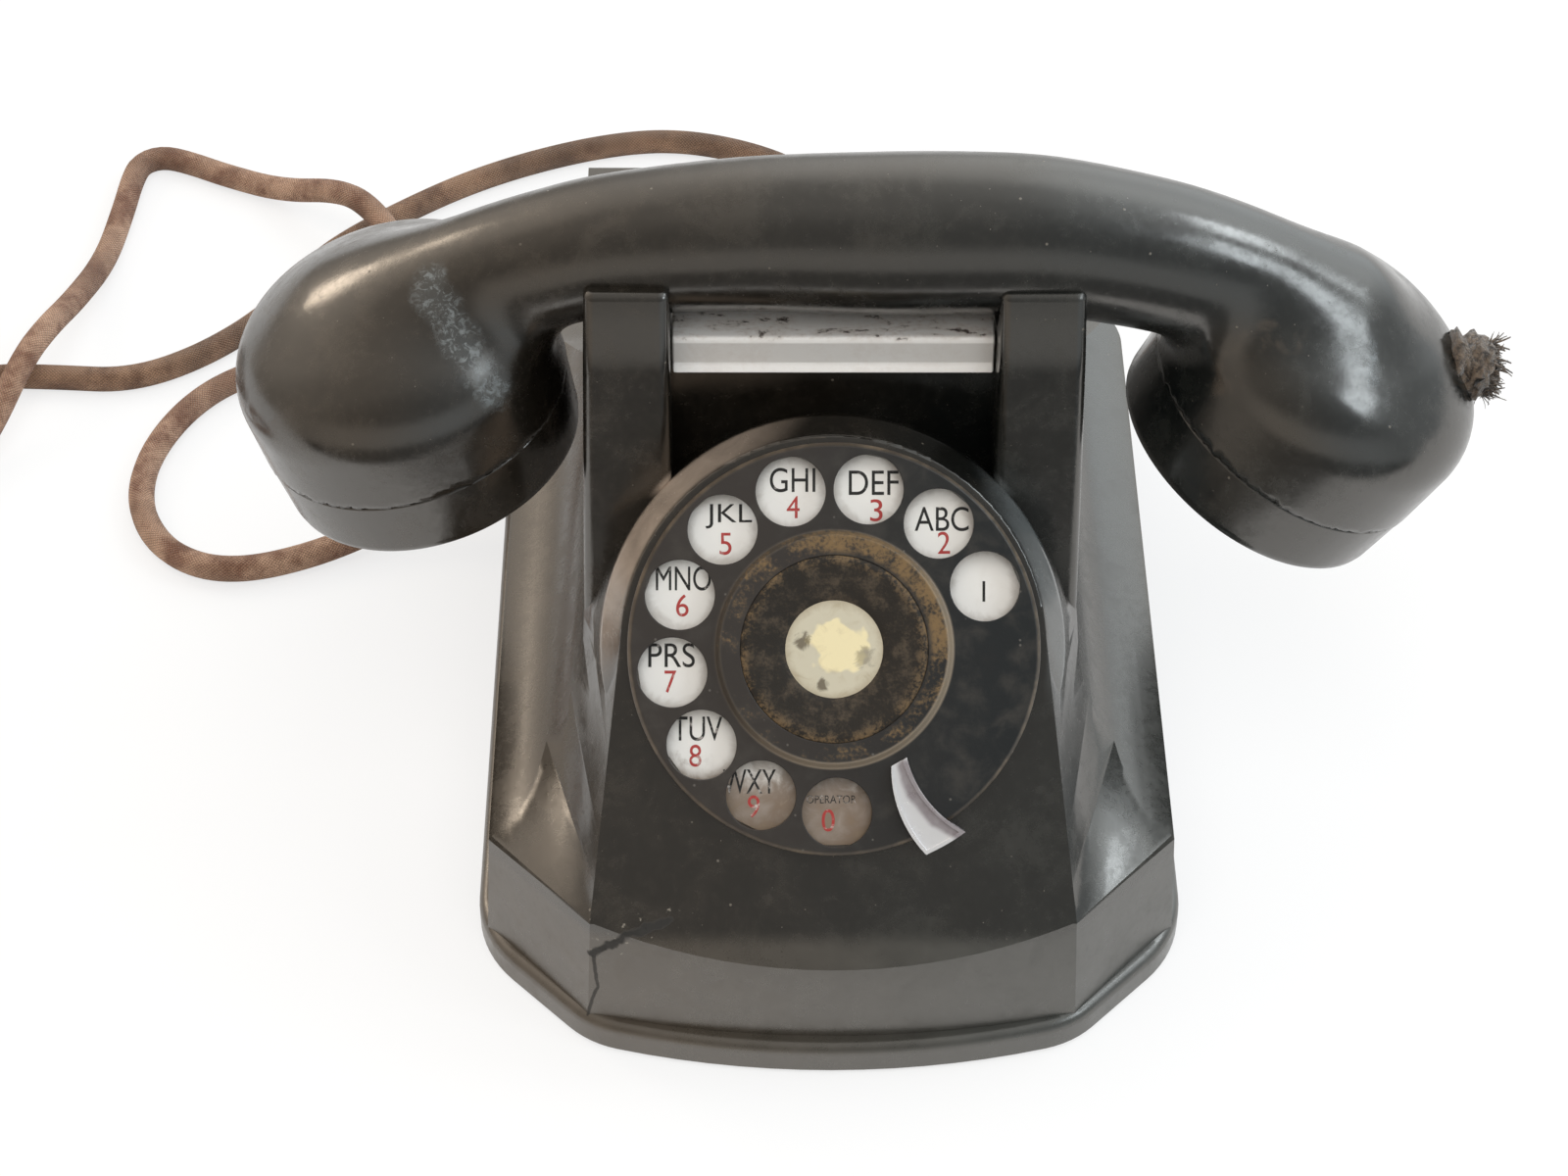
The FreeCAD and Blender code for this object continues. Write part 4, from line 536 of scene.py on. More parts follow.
# Dial works
# Behind the pan: brass wheels and steel pinions between the pan and a brass bridge, the return
# spring's barrel round the shaft, the impulse cam with its contacts, and the governor's weights.
brass, place, wear = finish("dull brass", Metallic=1.0)
stain = place.noise(160.0, 5.0, 0.6)
wear(Base_Color=stain.step(0.4, 0.75).tint((0.62, 0.47, 0.23), (0.35, 0.24, 0.12)),
     Roughness=0.28 + stain * 0.25)
board, place, wear = finish("laminated board", Roughness=0.6)
layer = place.noise(500.0, 4.0, 0.6)
wear(Base_Color=layer.step(0.35, 0.7).tint((0.17, 0.085, 0.045), (0.25, 0.14, 0.075)))
coat(brass, "dial_bridge", "spring_barrel", "governor_weights", "dial_main_gear", "impulse_wheel",
     "gong_left", "gong_right", "terminal_screws", "line_plug_pins")
coat(plain_steel, "dial_shaft", "impulse_pinion", "governor_pinion", "impulse_shaft", "governor_shaft")
coat(board, "impulse_cam", "dial_contact_springs", "hook_contact_springs")


# Hook switch
# A bar of nickelled sheet lies between the cradle pillars, its top scuffed by the handset and its
# front flange ending in a bright lip. Two legs pass through the deck to a lever under it.
worn_plate, place, wear = finish("scuffed nickel", Metallic=0.3)
streak = place.vector("MULTIPLY", place, (1.0, 3.0, 1.0)).noise(120.0, 6.0, 0.65, 0.5)
fine = place.noise(800.0, 4.0, 0.6)
upper = place.axis(2).step(0.1084, 0.1090)
scuff = (streak + (fine - 0.5) * 0.3).step(0.40, 0.66) * (0.35 + upper * 0.65)
silver = scuff.tint((1.0, 0.98, 0.95), (0.78, 0.72, 0.67))
dark = ((streak + fine * 0.3).step(0.72, 0.80) * upper).tint(silver, (0.10, 0.08, 0.07))
wear(Base_Color=dark, Roughness=0.28 + scuff * 0.3, bump=fine, depth=0.00002)
eased("hook_bar", worn_plate, 0.0004, 30.0)
coat(plain_steel, "hook_lever", "hook_pin", "hook_bracket")


# Ringer and circuit parts
# Inside the housing, on the base plate: two gongs with a pivoted armature and its hammer, the
# coils, an induction coil, a capacitor in a tinned can and a block of screw terminals.
winding, place, wear = finish("lacquered winding", Coat_Weight=0.5, Roughness=0.4)
turns = place.vector("MULTIPLY", place, (2600.0, 300.0, 300.0)).noise(1.0, 1.0)
wear(Base_Color=turns.step(0.4, 0.6).tint((0.20, 0.07, 0.025), (0.42, 0.20, 0.08)), bump=turns, depth=0.0001)
tinned, place, wear = finish("tinned can", Metallic=1.0)
stain = place.noise(120.0, 5.0, 0.6)
wear(Base_Color=stain.step(0.4, 0.7).tint((0.52, 0.52, 0.50), (0.36, 0.35, 0.33)),
     Roughness=0.35 + stain * 0.2)
inner_black = dusty_bakelite("moulded terminal block")
coat(winding, "ringer_coils", "induction_coil")
coat(tinned, "capacitor", "receiver_capsule", "transmitter_capsule")
coat(inner_black, "terminal_block")
coat(plain_steel, "ringer_frame", "armature", "armature_pin", "clapper_rod", "gong_screws")


# Handset body
# One bakelite moulding: a round handle that swells in the middle and flows into two domed cups,
# which are hollow for their capsules. Worn dull by hands on top of the cups and along the handle;
# pale scuffs carry painted bluish highlights on the inner side of the left cup and the ridge of the right.
def curve_through(stations, count):
    """Catmull-Rom curve through rows of numbers, sampled at count even steps of its parameter."""
    stations = np.asarray(stations, float)
    padded = np.vstack([2 * stations[0] - stations[1], stations, 2 * stations[-1] - stations[-2]])
    at = np.linspace(0, len(stations) - 1, count)
    i = np.minimum(at.astype(int), len(stations) - 2)
    t = (at - i)[:, None]
    a, b, c, d = (padded[i + k] for k in range(4))
    square, cube = 2 * a - 5 * b + 4 * c - d, 3 * b - a - 3 * c + d
    return 0.5 * (2 * b + (c - a) * t + square * t ** 2 + cube * t ** 3)


handle_y, cup_join = -1.2, 8.5
handle = curve_through([
    (-88.0, 101.0, 12.5), (-76.5, 109.0, 12.4), (-65.0, 114.8, 12.5), (-52.0, 119.6, 12.8),
    (-39.0, 122.9, 13.2), (-16.0, 125.1, 14.2), (8.0, 125.3, 15.0), (24.0, 125.4, 15.0), (38.0, 124.9, 14.7),
    (52.0, 122.3, 14.3), (65.0, 118.6, 14.0), (79.0, 112.6, 13.7), (92.0, 105.5, 13.4)], 220)
cups = (((-76.5, 72.0), -14.0, 25.0), ((81.5, 70.0), 29.5, 26.0))
seam_radius, crease_radius, dome, shoulder = 30.5, 31.0, 20.0, 14.2
capsule_bore, seam_height, mouth_reach, mouth_top = 24.3, 13.0, 45, 30


def cup_outline(crease):
    """Half section of a cup as radius and height: seam, crease, two tangent arcs of the dome, bore."""
    inset = crease_radius - shoulder
    crown = (inset ** 2 + dome ** 2 - shoulder ** 2) / (2 * (dome - shoulder))
    lean = math.atan2(inset, crown - dome)
    tight = np.linspace(math.pi / 2, lean, 16)
    flat = np.linspace(lean, 0, 14)[1:]
    arcs = np.concatenate([
        np.stack([inset + shoulder * np.sin(tight), crease + shoulder * np.cos(tight)], axis=1),
        np.stack([crown * np.sin(flat), crease + dome - crown + crown * np.cos(flat)], axis=1)])
    return np.vstack([[(0.0, seam_height), (seam_radius, seam_height)], arcs])


def polygon_distance(x, y, outline):
    """Signed distance in the plane from points to a closed outline, negative inside."""
    best = np.full(x.shape, 1e9, np.float32)
    inside = np.zeros(x.shape, bool)
    for (ax, ay), (bx, by) in zip(outline, np.roll(outline, -1, axis=0)):
        ex, ey = bx - ax, by - ay
        wx, wy = x - ax, y - ay
        t = np.clip((wx * ex + wy * ey) / (ex * ex + ey * ey), 0, 1)
        best = np.minimum(best, (wx - ex * t) ** 2 + (wy - ey * t) ** 2)
        crossing = (ay > y) != (by > y)
        if ey != 0:
            inside ^= crossing & (wx < ex * wy / ey)
    return np.where(inside, -1, 1) * np.sqrt(best)


def join(a, b, width):
    """Union of two distances with a fillet about width wide."""
    h = np.clip(0.5 + 0.5 * (b - a) / width, 0, 1)
    return b + (a - b) * h - width * h * (1 - h)


def in_cup(p, rim, lean):
    """Radius and height of points in a cup's own frame."""
    a = math.radians(lean)
    dx, dz = p[:, 0] - rim[0], p[:, 2] - rim[1]
    height = dx * math.sin(a) + dz * math.cos(a)
    out = dx * math.cos(a) - dz * math.sin(a)
    return np.hypot(out, p[:, 1] - handle_y), height


def handset_distance(p):
    """Distance in millimetres to the handset body: handle and cups joined softly, less the bores."""
    whole = np.full(len(p), 1e9, np.float32)
    for x, z, r in handle.astype(np.float32):
        middle = np.sqrt((p[:, 0] - x) ** 2 + (p[:, 1] - handle_y) ** 2 + (p[:, 2] - z) ** 2)
        whole = np.minimum(whole, middle - r)
    for rim, lean, crease in cups:
        r, h = in_cup(p, rim, lean)
        whole = join(whole, polygon_distance(r, h, cup_outline(crease)), cup_join)
    for rim, lean, crease in cups:
        r, h = in_cup(p, rim, lean)
        in_mouth = (r < mouth_reach) & (h < mouth_top)
        whole = np.where(in_mouth, np.maximum(whole, seam_height - h), whole)
        whole = np.maximum(whole, -np.maximum(r - capsule_bore, h - crease - 1))
    return whole


def net(distance, low, high, cell):
    """Surface nets: one point in each cell that the surface crosses, joined by four-sided faces."""
    axes = [np.arange(low[k], high[k] + cell, cell, dtype=np.float32) for k in range(3)]
    shape = tuple(len(a) for a in axes)
    field = np.empty(shape, np.float32)
    yy, zz = np.meshgrid(axes[1], axes[2], indexing="ij")
    for i, x in enumerate(axes[0]):
        slab = np.stack([np.full(yy.size, x, np.float32), yy.ravel(), zz.ravel()], axis=1)
        field[i] = distance(slab).reshape(yy.shape)
    inside = field < 0
    total = np.zeros(tuple(n - 1 for n in shape) + (3,), np.float32)
    count = np.zeros(tuple(n - 1 for n in shape), np.float32)
    for axis in range(3):
        a = field[tuple(slice(None, -1) if k == axis else slice(None) for k in range(3))]
        b = field[tuple(slice(1, None) if k == axis else slice(None) for k in range(3))]
        cut = (a < 0) != (b < 0)
        t = np.where(cut, a / np.where(cut, a - b, 1), 0)
        others = [k for k in range(3) if k != axis]
        for s0 in (0, 1):
            for s1 in (0, 1):
                pick = [slice(None)] * 3
                pick[others[0]] = slice(s0, shape[others[0]] - 1 + s0)
                pick[others[1]] = slice(s1, shape[others[1]] - 1 + s1)
                c = cut[tuple(pick)]
                count += c
                total[..., axis] += np.where(c, t[tuple(pick)], 0)
                total[..., others[0]] += c * s0
                total[..., others[1]] += c * s1
    used = count > 0
    number = np.full(used.shape, -1)
    number[used] = np.arange(used.sum())
    cells = np.argwhere(used)
    points = (cells + total[used] / count[used][:, None]) * cell + np.array([a[0] for a in axes])
    faces = []
    for axis in range(3):
        o0, o1 = [(1, 2), (2, 0), (0, 1)][axis]
        a = inside[tuple(slice(None, -1) if k == axis else slice(1, -1) for k in range(3))]
        b = inside[tuple(slice(1, None) if k == axis else slice(1, -1) for k in range(3))]
        where = np.argwhere(a != b)
        if not len(where):
            continue
        base = where + np.array([0 if k == axis else 1 for k in range(3)])
        quad = []
        for d0, d1 in ((0, 0), (1, 0), (1, 1), (0, 1)):
            c = base.copy()
            c[:, o0] -= 1 - d0
            c[:, o1] -= 1 - d1
            quad.append(number[tuple(c.T)])
        quad = np.stack(quad, axis=1)
        flip = ~a[tuple(where.T)]
        quad[flip] = quad[flip][:, ::-1]
        faces.append(quad)
    return points, np.concatenate(faces)


def settle(points, distance, rounds=3, probe=0.05):
    """Newton steps that bring points onto the surface of a distance field."""
    for _ in range(rounds):
        d = distance(points)
        slope = np.stack([distance(points + np.eye(3)[k] * probe) - d for k in range(3)], axis=1) / probe
        points = points - np.clip(d / np.maximum((slope ** 2).sum(1), 0.3), -0.8, 0.8)[:, None] * slope
    return points


body_low, body_high = (-118.0, -34.5, 66.0), (128.0, 32.5, 145.0)
body_points, body_faces = net(handset_distance, body_low, body_high, cell=1.15)
body_points = settle(body_points, handset_distance)
body_mesh = bpy.data.meshes.new("handset_body")
body_mesh.from_pydata((body_points / 1000).tolist(), [], body_faces.tolist())
body_mesh.shade_smooth()


def handled(place, colour, rough):
    """Pale scuffs with a painted bluish highlight down the inner side of one cup and the ridge of the other,
    and brown rubbed spots.
    """
    patch = place.noise(140.0, 6.0, 0.65, 0.6)
    scratch = place.noise(620.0, 6.0, 0.75, 1.0).step(0.47, 0.62)
    inner = from_line(place, [(-73.9, -9.8, 120.4), (-68.5, -16.6, 113.2), (-65.1, -20.5, 109.7),
                              (-62.3, -22.5, 105.2)], 0.007, 180.0)
    ridge_highlight = from_line(place, [(88.4, -5.5, 120.4), (92.5, -4.5, 117.1), (98.8, -10.3, 111.4),
                              (98.9, -21.4, 106.7)], 0.004, 180.0)
    brown = from_line(place, [(72.2, -19.2, 104.8), (80.8, -14.5, 115.0), (84.4, -16.0, 112.8)], 0.008, 180.0)
    # Painted bluish highlights, broken up by scratches, along the inner side and the ridge
    tone = (inner.step(0.0048, 0.0010) * (0.15 + scratch * 0.55)).tint(colour, (0.22, 0.25, 0.26))
    tone = (ridge_highlight.step(0.0022, 0.0004) * (0.10 + scratch * 0.35)).tint(tone, (0.20, 0.23, 0.25))
    tone = (brown.step(0.0045, 0.0010) * patch.step(0.45, 0.65) * 0.5).tint(tone, (0.085, 0.065, 0.048))
    return tone, rough + inner.step(0.006, 0.002) * scratch * 0.15


handset_black = dusty_bakelite("dusty bakelite handset", handled)
handset = show(body_mesh, "handset_body", "handset", handset_black)
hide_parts("handset_handle")


# Handset caps
# Each cup is closed by a screwed bakelite cap with a rounded rim; the ear cap has a few sound
# holes and the mouth cap a full pattern. A fine line shows where the cap meets the cup.
eased("receiver_cap", handset_black, 0.00015, 30.0)
eased("transmitter_cap", handset_black, 0.00015, 30.0)


# Cord stub
# The handset's own cord was cut off close to the cup. Its brown cotton braid has frayed into a dark
# ragged brush of threads.
frayed, place, wear = finish("frayed cotton", Sheen_Weight=0.5, Roughness=0.95)
thread = place.noise(900.0, 5.0, 0.7)
wear(Base_Color=thread.step(0.35, 0.65).tint((0.022, 0.015, 0.011), (0.17, 0.12, 0.08)),
     bump=thread, depth=0.0006)


def run_along(path):
    """Distance along a path at each of its points."""
    return np.concatenate([[0], np.cumsum(np.linalg.norm(np.diff(path, axis=0), axis=1))])


def sleeve(name, path, radii, sides):
    """Tube round a path: at each point a ring of vertices square to it, closed by fans at both ends.

    The rings are turned as little as possible from one to the next. Its UV map holds the distance
    along the path in metres and the share of a turn round it.
    """
    path = np.asarray(path, float)
    radii = np.broadcast_to(np.asarray(radii, float), (len(path),))
    run = np.gradient(path, axis=0)
    run /= np.linalg.norm(run, axis=1)[:, None]
    first = np.cross(run[0], [0, 0, 1.0])
    if np.linalg.norm(first) < 0.1:
        first = np.cross(run[0], [0, 1.0, 0])
    normals = [first / np.linalg.norm(first)]
    for t in run[1:]:
        n = normals[-1] - t * np.dot(normals[-1], t)
        normals.append(n / np.linalg.norm(n))
    normals = np.array(normals)
    binormals = np.cross(run, normals)
    turn = np.arange(sides) * 2 * math.pi / sides
    ring = normals[:, None] * np.cos(turn)[None, :, None] + binormals[:, None] * np.sin(turn)[None, :, None]
    points = path[:, None] + ring * radii[:, None, None]
    mesh = bpy.data.meshes.new(name)
    index = np.arange(len(path) * sides).reshape(len(path), sides)
    after = np.roll(index, -1, axis=1)
    quads = np.stack([index[:-1], after[:-1], after[1:], index[1:]], axis=-1).reshape(-1, 4)
    ends = [len(path) * sides, len(path) * sides + 1]
    fans = [[ends[0], after[0, k], index[0, k]] for k in range(sides)]
    fans += [[ends[1], index[-1, k], after[-1, k]] for k in range(sides)]
    mesh.from_pydata(np.vstack([points.reshape(-1, 3), path[[0, -1]]]).tolist(), [], quads.tolist() + fans)
    mesh.shade_smooth()
    distance = run_along(path)
    layer = mesh.uv_layers.new(name="along and round")
    share = np.arange(sides + 1) / sides
    u = np.stack([distance[:-1], distance[:-1], distance[1:], distance[1:]], axis=1)
    u = np.repeat(u[:, None], sides, axis=1)
    v = np.stack([share[:-1], share[1:], share[1:], share[:-1]], axis=1)
    v = np.repeat(v[None], len(path) - 1, axis=0)
    uv = np.stack([u, v], axis=-1).reshape(-1, 2)
    caps = np.zeros((len(fans) * 3, 2))
    caps[len(fans) * 3 // 2:, 0] = distance[-1]
    layer.data.foreach_set("uv", np.vstack([uv, caps]).astype(np.float32).ravel())
    return mesh


stub_root, stub_drop, stub_reach = np.array([0.1207, -0.0012, 0.0930]), math.radians(12), 0.0058
stub_way = np.array([math.cos(stub_drop), 0, -math.sin(stub_drop)])
along = np.linspace(-0.004, stub_reach, 14)
swell = 0.0062 + 0.0004 * np.sin(along * 1100) - 0.0022 * np.clip(along / stub_reach, 0, 1) ** 2
stub_mesh = sleeve("cord_stub", stub_root + stub_way * along[:, None], swell, 28)
stub = show(stub_mesh, "cord_stub", "handset", frayed)
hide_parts("handset_cord_stub")
place_spots(stub.data, spots_of(stub.data) + rng.normal(0, 0.00045, (len(stub.data.vertices), 3)))


def threads(name, root, way, reach, count, length, thickness):
    """Loose threads from a round end: each a short bent three-sided tube that leans outwards."""
    square = np.cross(way, [0, 1.0, 0])
    square /= np.linalg.norm(square)
    other = np.cross(way, square)
    steps, sides = 6, 3
    ring = np.array([[math.cos(a), math.sin(a)] for a in np.radians((90, 210, 330))])
    index = np.arange(steps * sides).reshape(steps, sides)
    after = np.roll(index, -1, axis=1)
    quads = np.stack([index[:-1], after[:-1], after[1:], index[1:]], axis=-1).reshape(-1, 4)
    ends = np.array([index[0, ::-1], index[-1]])
    spots, faces = [], []
    for k in range(count):
        angle, share = rng.uniform(0, 2 * math.pi), math.sqrt(rng.uniform(0.05, 1))
        out = square * math.cos(angle) + other * math.sin(angle)
        start = root + out * reach * share
        lean = way * rng.uniform(0.6, 1.0) + out * rng.uniform(-0.2, 0.9) * share + rng.normal(0, 0.25, 3)
        lean /= np.linalg.norm(lean)
        curl = rng.normal(0, 0.9, 3)
        t = np.linspace(0, 1, steps)[:, None]
        path = start + lean * t * length * rng.uniform(0.4, 1.0) + curl * t ** 2 * length * 0.35
        width = thickness * rng.uniform(0.6, 1.3) * (1 - 0.5 * t)
        points = path[:, None] + (square * ring[:, :1] + other * ring[:, 1:])[None] * width[:, :, None]
        spots.append(points.reshape(-1, 3))
        faces += (quads + k * index.size).tolist() + (ends + k * index.size).tolist()
    mesh = bpy.data.meshes.new(name)
    mesh.from_pydata(np.concatenate(spots).tolist(), [], faces)
    mesh.shade_smooth()
    return mesh


brush = threads("stub_threads", stub_root + stub_way * 0.0038, stub_way, reach=0.0052, count=230,
                length=0.0030, thickness=0.0003)
show(brush, "stub_threads", "handset", frayed)


# Cords
# Two cotton-braided cords leave through rubber bushings low in the housing. The wall cord rounds
# the back, crosses under the other and is put away in a coil with its plug. The handset's cord loops
# beside the telephone and over the first, and its cut end lies by its own coil.
rubber, place, wear = finish("old rubber", Roughness=0.7)
bloom = place.noise(300.0, 4.0, 0.6)
wear(Base_Color=bloom.step(0.4, 0.7).tint((0.018, 0.017, 0.016), (0.045, 0.042, 0.038)))
coat(rubber, "line_cord_gland", "handset_cord_gland")
cord_radius, low, high = 2.8, 2.9, 13.0


def braid(name, dark, light, stain):
    """Cotton braid: two sets of threads wound at 45 degrees that pass over each other."""
    made, place, wear = finish(name, Sheen_Weight=0.15, Roughness=0.9)
    uv = place.node("ShaderNodeTexCoord", out="UV")
    along = uv.axis(0)
    round_it = uv.axis(1)
    one = (along * 620.0 + round_it * 12.0) * (2 * math.pi)
    two = (along * 620.0 - round_it * 12.0) * (2 * math.pi)
    strand = one.maths("SINE", one) * two.maths("SINE", two)
    relief = strand.maths("ABSOLUTE", strand)
    shade = place.noise(110.0, 5.0, 0.65)
    fuzz = place.noise(1600.0, 3.0, 0.7)
    cloth = shade.step(0.32, 0.62).tint(dark, light)
    dirty = (place.noise(35.0, 3.0, 0.5).step(0.45, 0.65) * 0.7).tint(cloth, stain)
    gaps = relief.step(0.5, 0.0) * 0.45 + fuzz.step(0.6, 0.75) * 0.2
    wear(Base_Color=gaps.tint(dirty, (0.02, 0.012, 0.008)), bump=relief + fuzz * 0.5, depth=0.00035)
    return made


def coil(centre, radius, start_angle, turns, per_turn=16, pitch=7.0, layer=6.2):
    """Control points of a coil wound in, stepped up a layer, and wound out again, clockwise."""
    half = turns * math.pi
    theta = np.linspace(0, 2 * half, int(round(turns * per_turn)) + 1)
    away = np.maximum(0, np.abs(theta - half) - math.pi / 2)
    inner = radius - pitch * (half - math.pi / 2) / (2 * math.pi)
    r = (inner + pitch * away / (2 * math.pi)) / math.cos(math.pi / per_turn) ** 2
    rise = low + layer * np.clip((theta - half) / math.pi + 0.5, 0, 1)
    angle = math.radians(start_angle) - theta
    return np.stack([centre[0] + r * np.cos(angle), centre[1] + r * np.sin(angle), rise], axis=1)


def cord_line(name, points, ring_gap=0.0017):
    """Even points of one open smooth line whose control points are given in millimetres."""
    curve = bpy.data.curves.new(name, "CURVE")
    curve.dimensions, curve.resolution_u = "3D", 10
    spline = curve.splines.new("NURBS")
    spline.points.add(len(points) - 1)
    spline.points.foreach_set("co", np.hstack([points / 1000, np.ones((len(points), 1))]).ravel())
    spline.order_u = 3
    spline.use_endpoint_u = True
    carrier = bpy.data.objects.new(name, curve)
    bpy.context.scene.collection.objects.link(carrier)
    bpy.context.view_layer.update()
    line = bpy.data.meshes.new_from_object(carrier.evaluated_get(bpy.context.evaluated_depsgraph_get()))
    spots = spots_of(line).astype(float)
    bpy.data.objects.remove(carrier)
    bpy.data.meshes.remove(line)
    gaps = np.linalg.norm(np.diff(spots, axis=0), axis=1)
    spots = spots[np.concatenate([[True], gaps > 1e-6])]
    distance = run_along(spots)
    even = np.linspace(0, distance[-1], int(distance[-1] / ring_gap) + 1)
    return np.stack([np.interp(even, distance, spots[:, k]) for k in range(3)], axis=1)


def leaving(winding):
    """Level unit vector along which a coil's last turn leaves it."""
    way = (winding[-1] - winding[-2]) * (1, 1, 0)
    return way / np.linalg.norm(way)


plug = eased("line_plug_body", inner_black, 0.0008, 30.0)
line_route = np.array([
    (18, 89.4, 12.5), (18, 105.4, 12.5), (19, 124, low), (14, 152, low), (-5, 174, low), (-29, 184, low),
    (-50, 182.5, low), (-78, 171, low), (-101, 154, low), (-117, 138, low), (-125, 120, low),
    (-139, 105, low), (-155, 96, low), (-172, 97.3, low), (-188, 97.8, low), (-205.2, 89.6, low)])
line_coil = coil((-246.0, 118.0), 43.0, -65.0, 7.3)
ending = leaving(line_coil)
plug_entry = line_coil[-1] + ending * 37
plug_entry[2] = 11
line_tail = np.array([line_coil[-1] + ending * 14, plug_entry])
line_path = cord_line("line_cord_route", np.vstack([line_route, line_coil, line_tail]))
line_cloth = braid("brown cotton braid", (0.20, 0.100, 0.056), (0.46, 0.270, 0.165), (0.16, 0.095, 0.06))
line_mesh = sleeve("wall_cord", line_path, cord_radius / 1000, 14)
line_cord = show(line_mesh, "wall_cord", "base", line_cloth)
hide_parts("line_cord", "line_cord_coil")

handset_route = np.array([
    (-62, 54, 12.5), (-78, 54, 12.5), (-90, 49.5, 5.5), (-108, 40, low), (-127, 34, low), (-141, 40, low),
    (-149, 55, low), (-148, 73, low), (-139, 91, low), (-125, 101, low), (-108, 101, low), (-96, 109, low),
    (-92, 122, low), (-95.5, 134.5, 8), (-103, 144.5, high), (-111, 152, high), (-127, 163.5, 3.5),
    (-141, 170, low), (-150, 174.8, low), (-157, 177.3, low), (-162, 174.5, low), (-163.3, 168, low),
    (-164, 157, low), (-166, 138, low), (-170, 118, 8), (-173.5, 103, high), (-177.5, 92, high),
    (-183.5, 76, 6), (-191, 58, low), (-203.5, 33.8, low)])
handset_coil = coil((-246.0, 22.0), 34.0, -24.0, 3.5)
ending = leaving(handset_coil)
second = handset_coil[-1] + ending * 26 + np.array([-4, 0, -4.4])
handset_tail = np.array([handset_coil[-1] + ending * 12, second, (second[0] - 10, second[1] + 12, low)])
handset_path = cord_line("handset_cord_route", np.vstack([handset_route, handset_coil, handset_tail]))
handset_cloth = braid("red-brown cotton braid", (0.27, 0.115, 0.062), (0.74, 0.46, 0.31), (0.24, 0.12, 0.07))
handset_mesh = sleeve("loop_cord", handset_path, cord_radius / 1000, 14)
handset_cord = show(handset_mesh, "loop_cord", "base", handset_cloth)
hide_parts("handset_cord", "handset_cord_coil")


# Table and light
# A white table top whose front edge is just before the telephone, in a pale room with bright walls
# behind. A warm window stands behind on the left, two cool ones on the right, and a wide fill in front.
table = bpy.data.materials.new("white table")
table.use_nodes = True
tree = table.node_tree
tree.nodes.clear()
start, glow = Shade(tree), 0.72
seen = start.node("ShaderNodeLightPath", out="Is Camera Ray")
seen = seen.maths("MAXIMUM", seen, start.node("ShaderNodeLightPath", out="Is Glossy Ray"))
seen = seen.maths("MAXIMUM", seen, start.node("ShaderNodeLightPath", out="Is Transmission Ray"))
paint = start.node("ShaderNodeBsdfDiffuse", {}, {"Color": (0.93, 0.93, 0.93)})
white = start.node("ShaderNodeEmission", {}, {"Color": (1.0, 1.0, 1.0), "Strength": 1.0})
shown = start.node("ShaderNodeMixShader", {}, {0: seen * glow, 1: paint, 2: white})
start.node("ShaderNodeOutputMaterial", {}, {"Surface": shown})
floor_mesh = bpy.data.meshes.new("table_top")
table_side, table_front, table_back = 1.4, -0.135, 1.6
corners = [(-table_side, table_front, 0), (table_side, table_front, 0),
           (table_side, table_back, 0), (-table_side, table_back, 0)]
floor_mesh.from_pydata(corners, [], [(0, 1, 2, 3)])
floor_mesh.materials.append(table)
floor = bpy.data.objects.new("table_top", floor_mesh)
bpy.context.scene.collection.objects.link(floor)

room = bpy.data.worlds.new("room")
bpy.context.scene.world = room
room.use_nodes = True
back = room.node_tree.nodes["Background"]
facing = Shade(room.node_tree).node("ShaderNodeTexCoord", out="Generated")


def toward(heading, height):
    """Unit vector of a compass heading from straight behind the telephone, and a height, in degrees."""
    round_it, up = math.radians(heading), math.radians(height)
    return Vector((math.sin(round_it) * math.cos(up), math.cos(round_it) * math.cos(up), math.sin(up)))


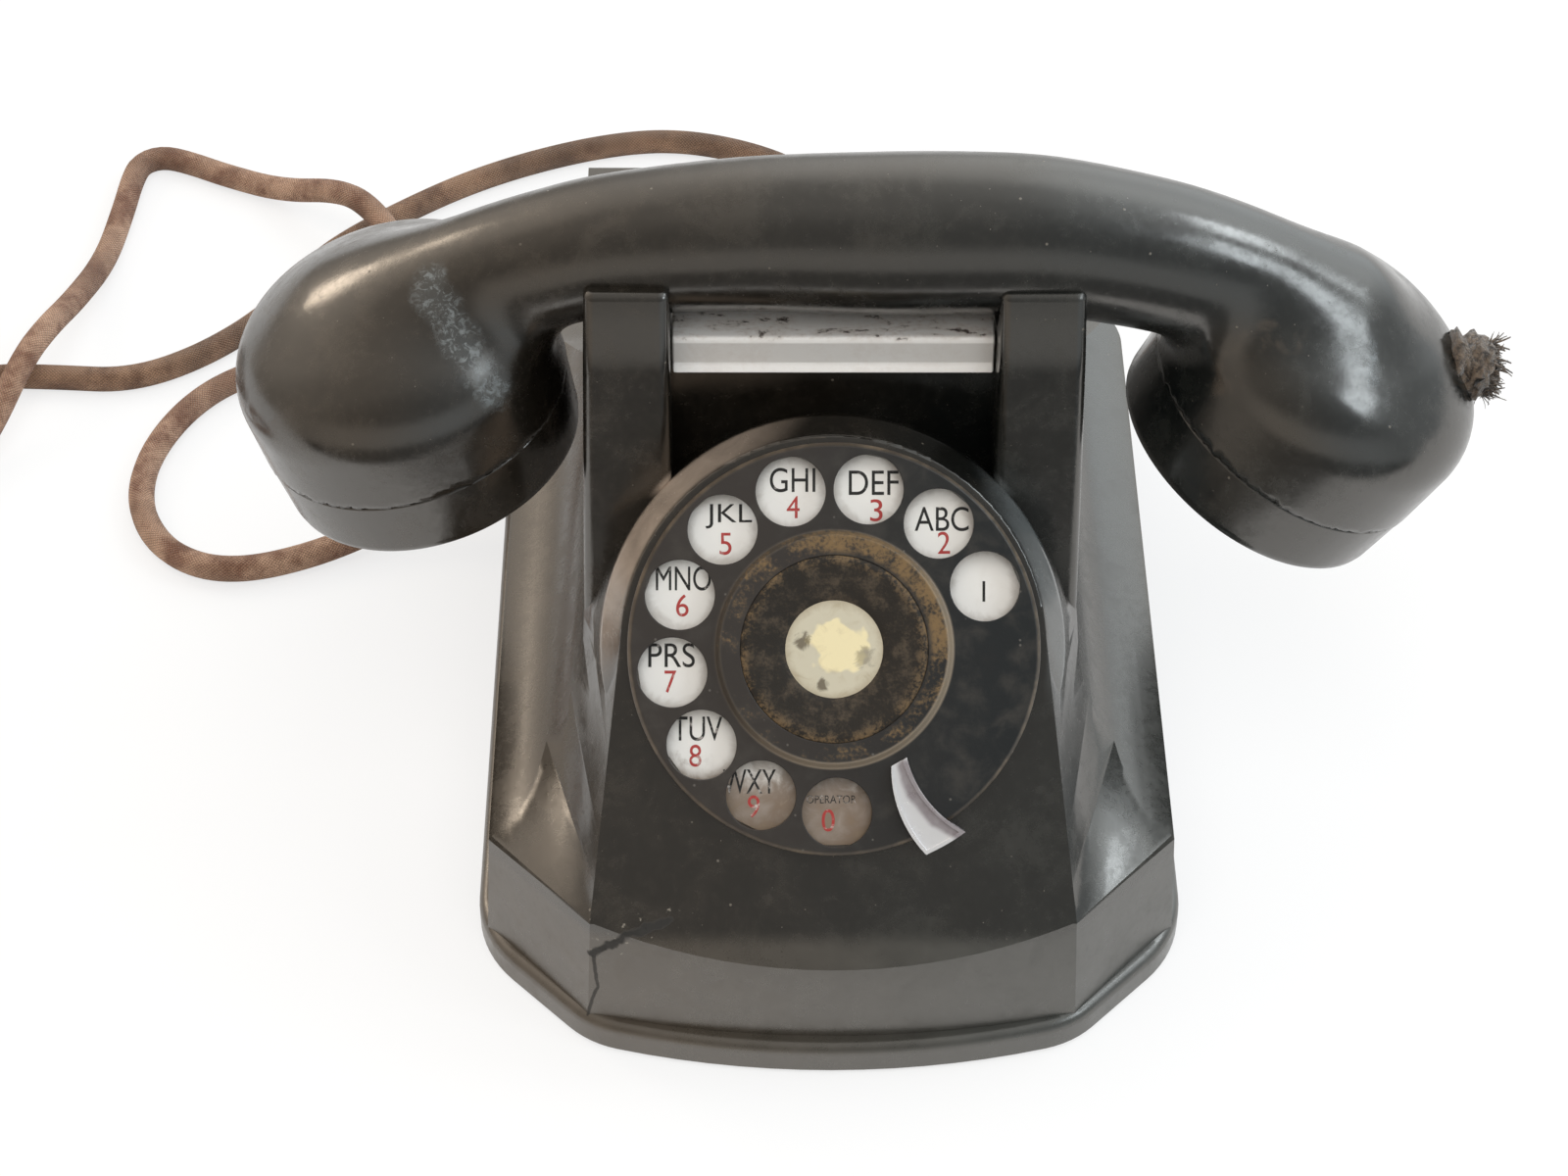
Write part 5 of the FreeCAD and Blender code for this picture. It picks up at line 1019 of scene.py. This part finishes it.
def bright_wall(heading, height, inner, outer):
    """1 within inner degrees of a direction in the room, fading to 0 at outer degrees."""
    near = facing.vector("DOT_PRODUCT", facing, tuple(toward(heading, height)), out="Value")
    return near.step(math.cos(math.radians(outer)), math.cos(math.radians(inner)))


sideways = facing.axis(0)
depth = facing.axis(1)
height = facing.axis(2)
# The room is dimmer in front, but for a band near the table's height, and darkest below the table's edge
room_light = 0.52 - depth.step(-0.15, -0.80) * 0.24 + depth.step(-0.3, -0.8) * height.step(0.42, 0.12) * 0.34
room_light = room_light - depth.step(0.0, -0.3) * height.step(-0.20, -0.36) * 0.42
walls = bright_wall(30, 27, 10, 45) * 1.1 + bright_wall(-48, 38, 8, 42) * 0.6
walls = walls + bright_wall(60, 52, 8, 40) * 0.45
shown = facing.node("ShaderNodeLightPath", out="Is Camera Ray")
shown = shown.maths("MAXIMUM", shown, shown.node("ShaderNodeLightPath", out="Is Transmission Ray"))
room.node_tree.links.new(((room_light + walls) * (1 - shown) + shown).socket, back.inputs["Strength"])
tone = sideways.step(-0.6, 0.6).tint((1.0, 0.90, 0.79), (0.89, 0.96, 1.0))
room.node_tree.links.new(shown.tint(tone, (1.0, 1.0, 1.0)).socket, back.inputs["Color"])


def lamp(name, heading, height, reach, size, glare, colour):
    """A square soft lamp that looks at the telephone, whose surface is glare times white."""
    light = bpy.data.lights.new(name, "AREA")
    light.size, light.energy, light.color = size, glare * math.pi * size ** 2, colour
    holder = bpy.data.objects.new(name, light)
    bpy.context.scene.collection.objects.link(holder)
    holder.location = toward(heading, height) * reach
    holder.rotation_euler = (Vector((0, 0, 0.06)) - holder.location).to_track_quat("-Z", "Y").to_euler()
    return holder


lamp("warm window", -54, 31, 1.6, 0.36, 7.0, (1.0, 0.86, 0.70))
lamp("cool window", 74, 46, 1.6, 0.38, 6.0, (0.82, 0.92, 1.0))
lamp("side window", 110, 43, 1.6, 0.42, 5.0, (0.80, 0.91, 1.0))
lamp("front fill", 180, 63, 1.7, 1.4, 2.3, (1.0, 0.98, 0.95)).visible_glossy = False
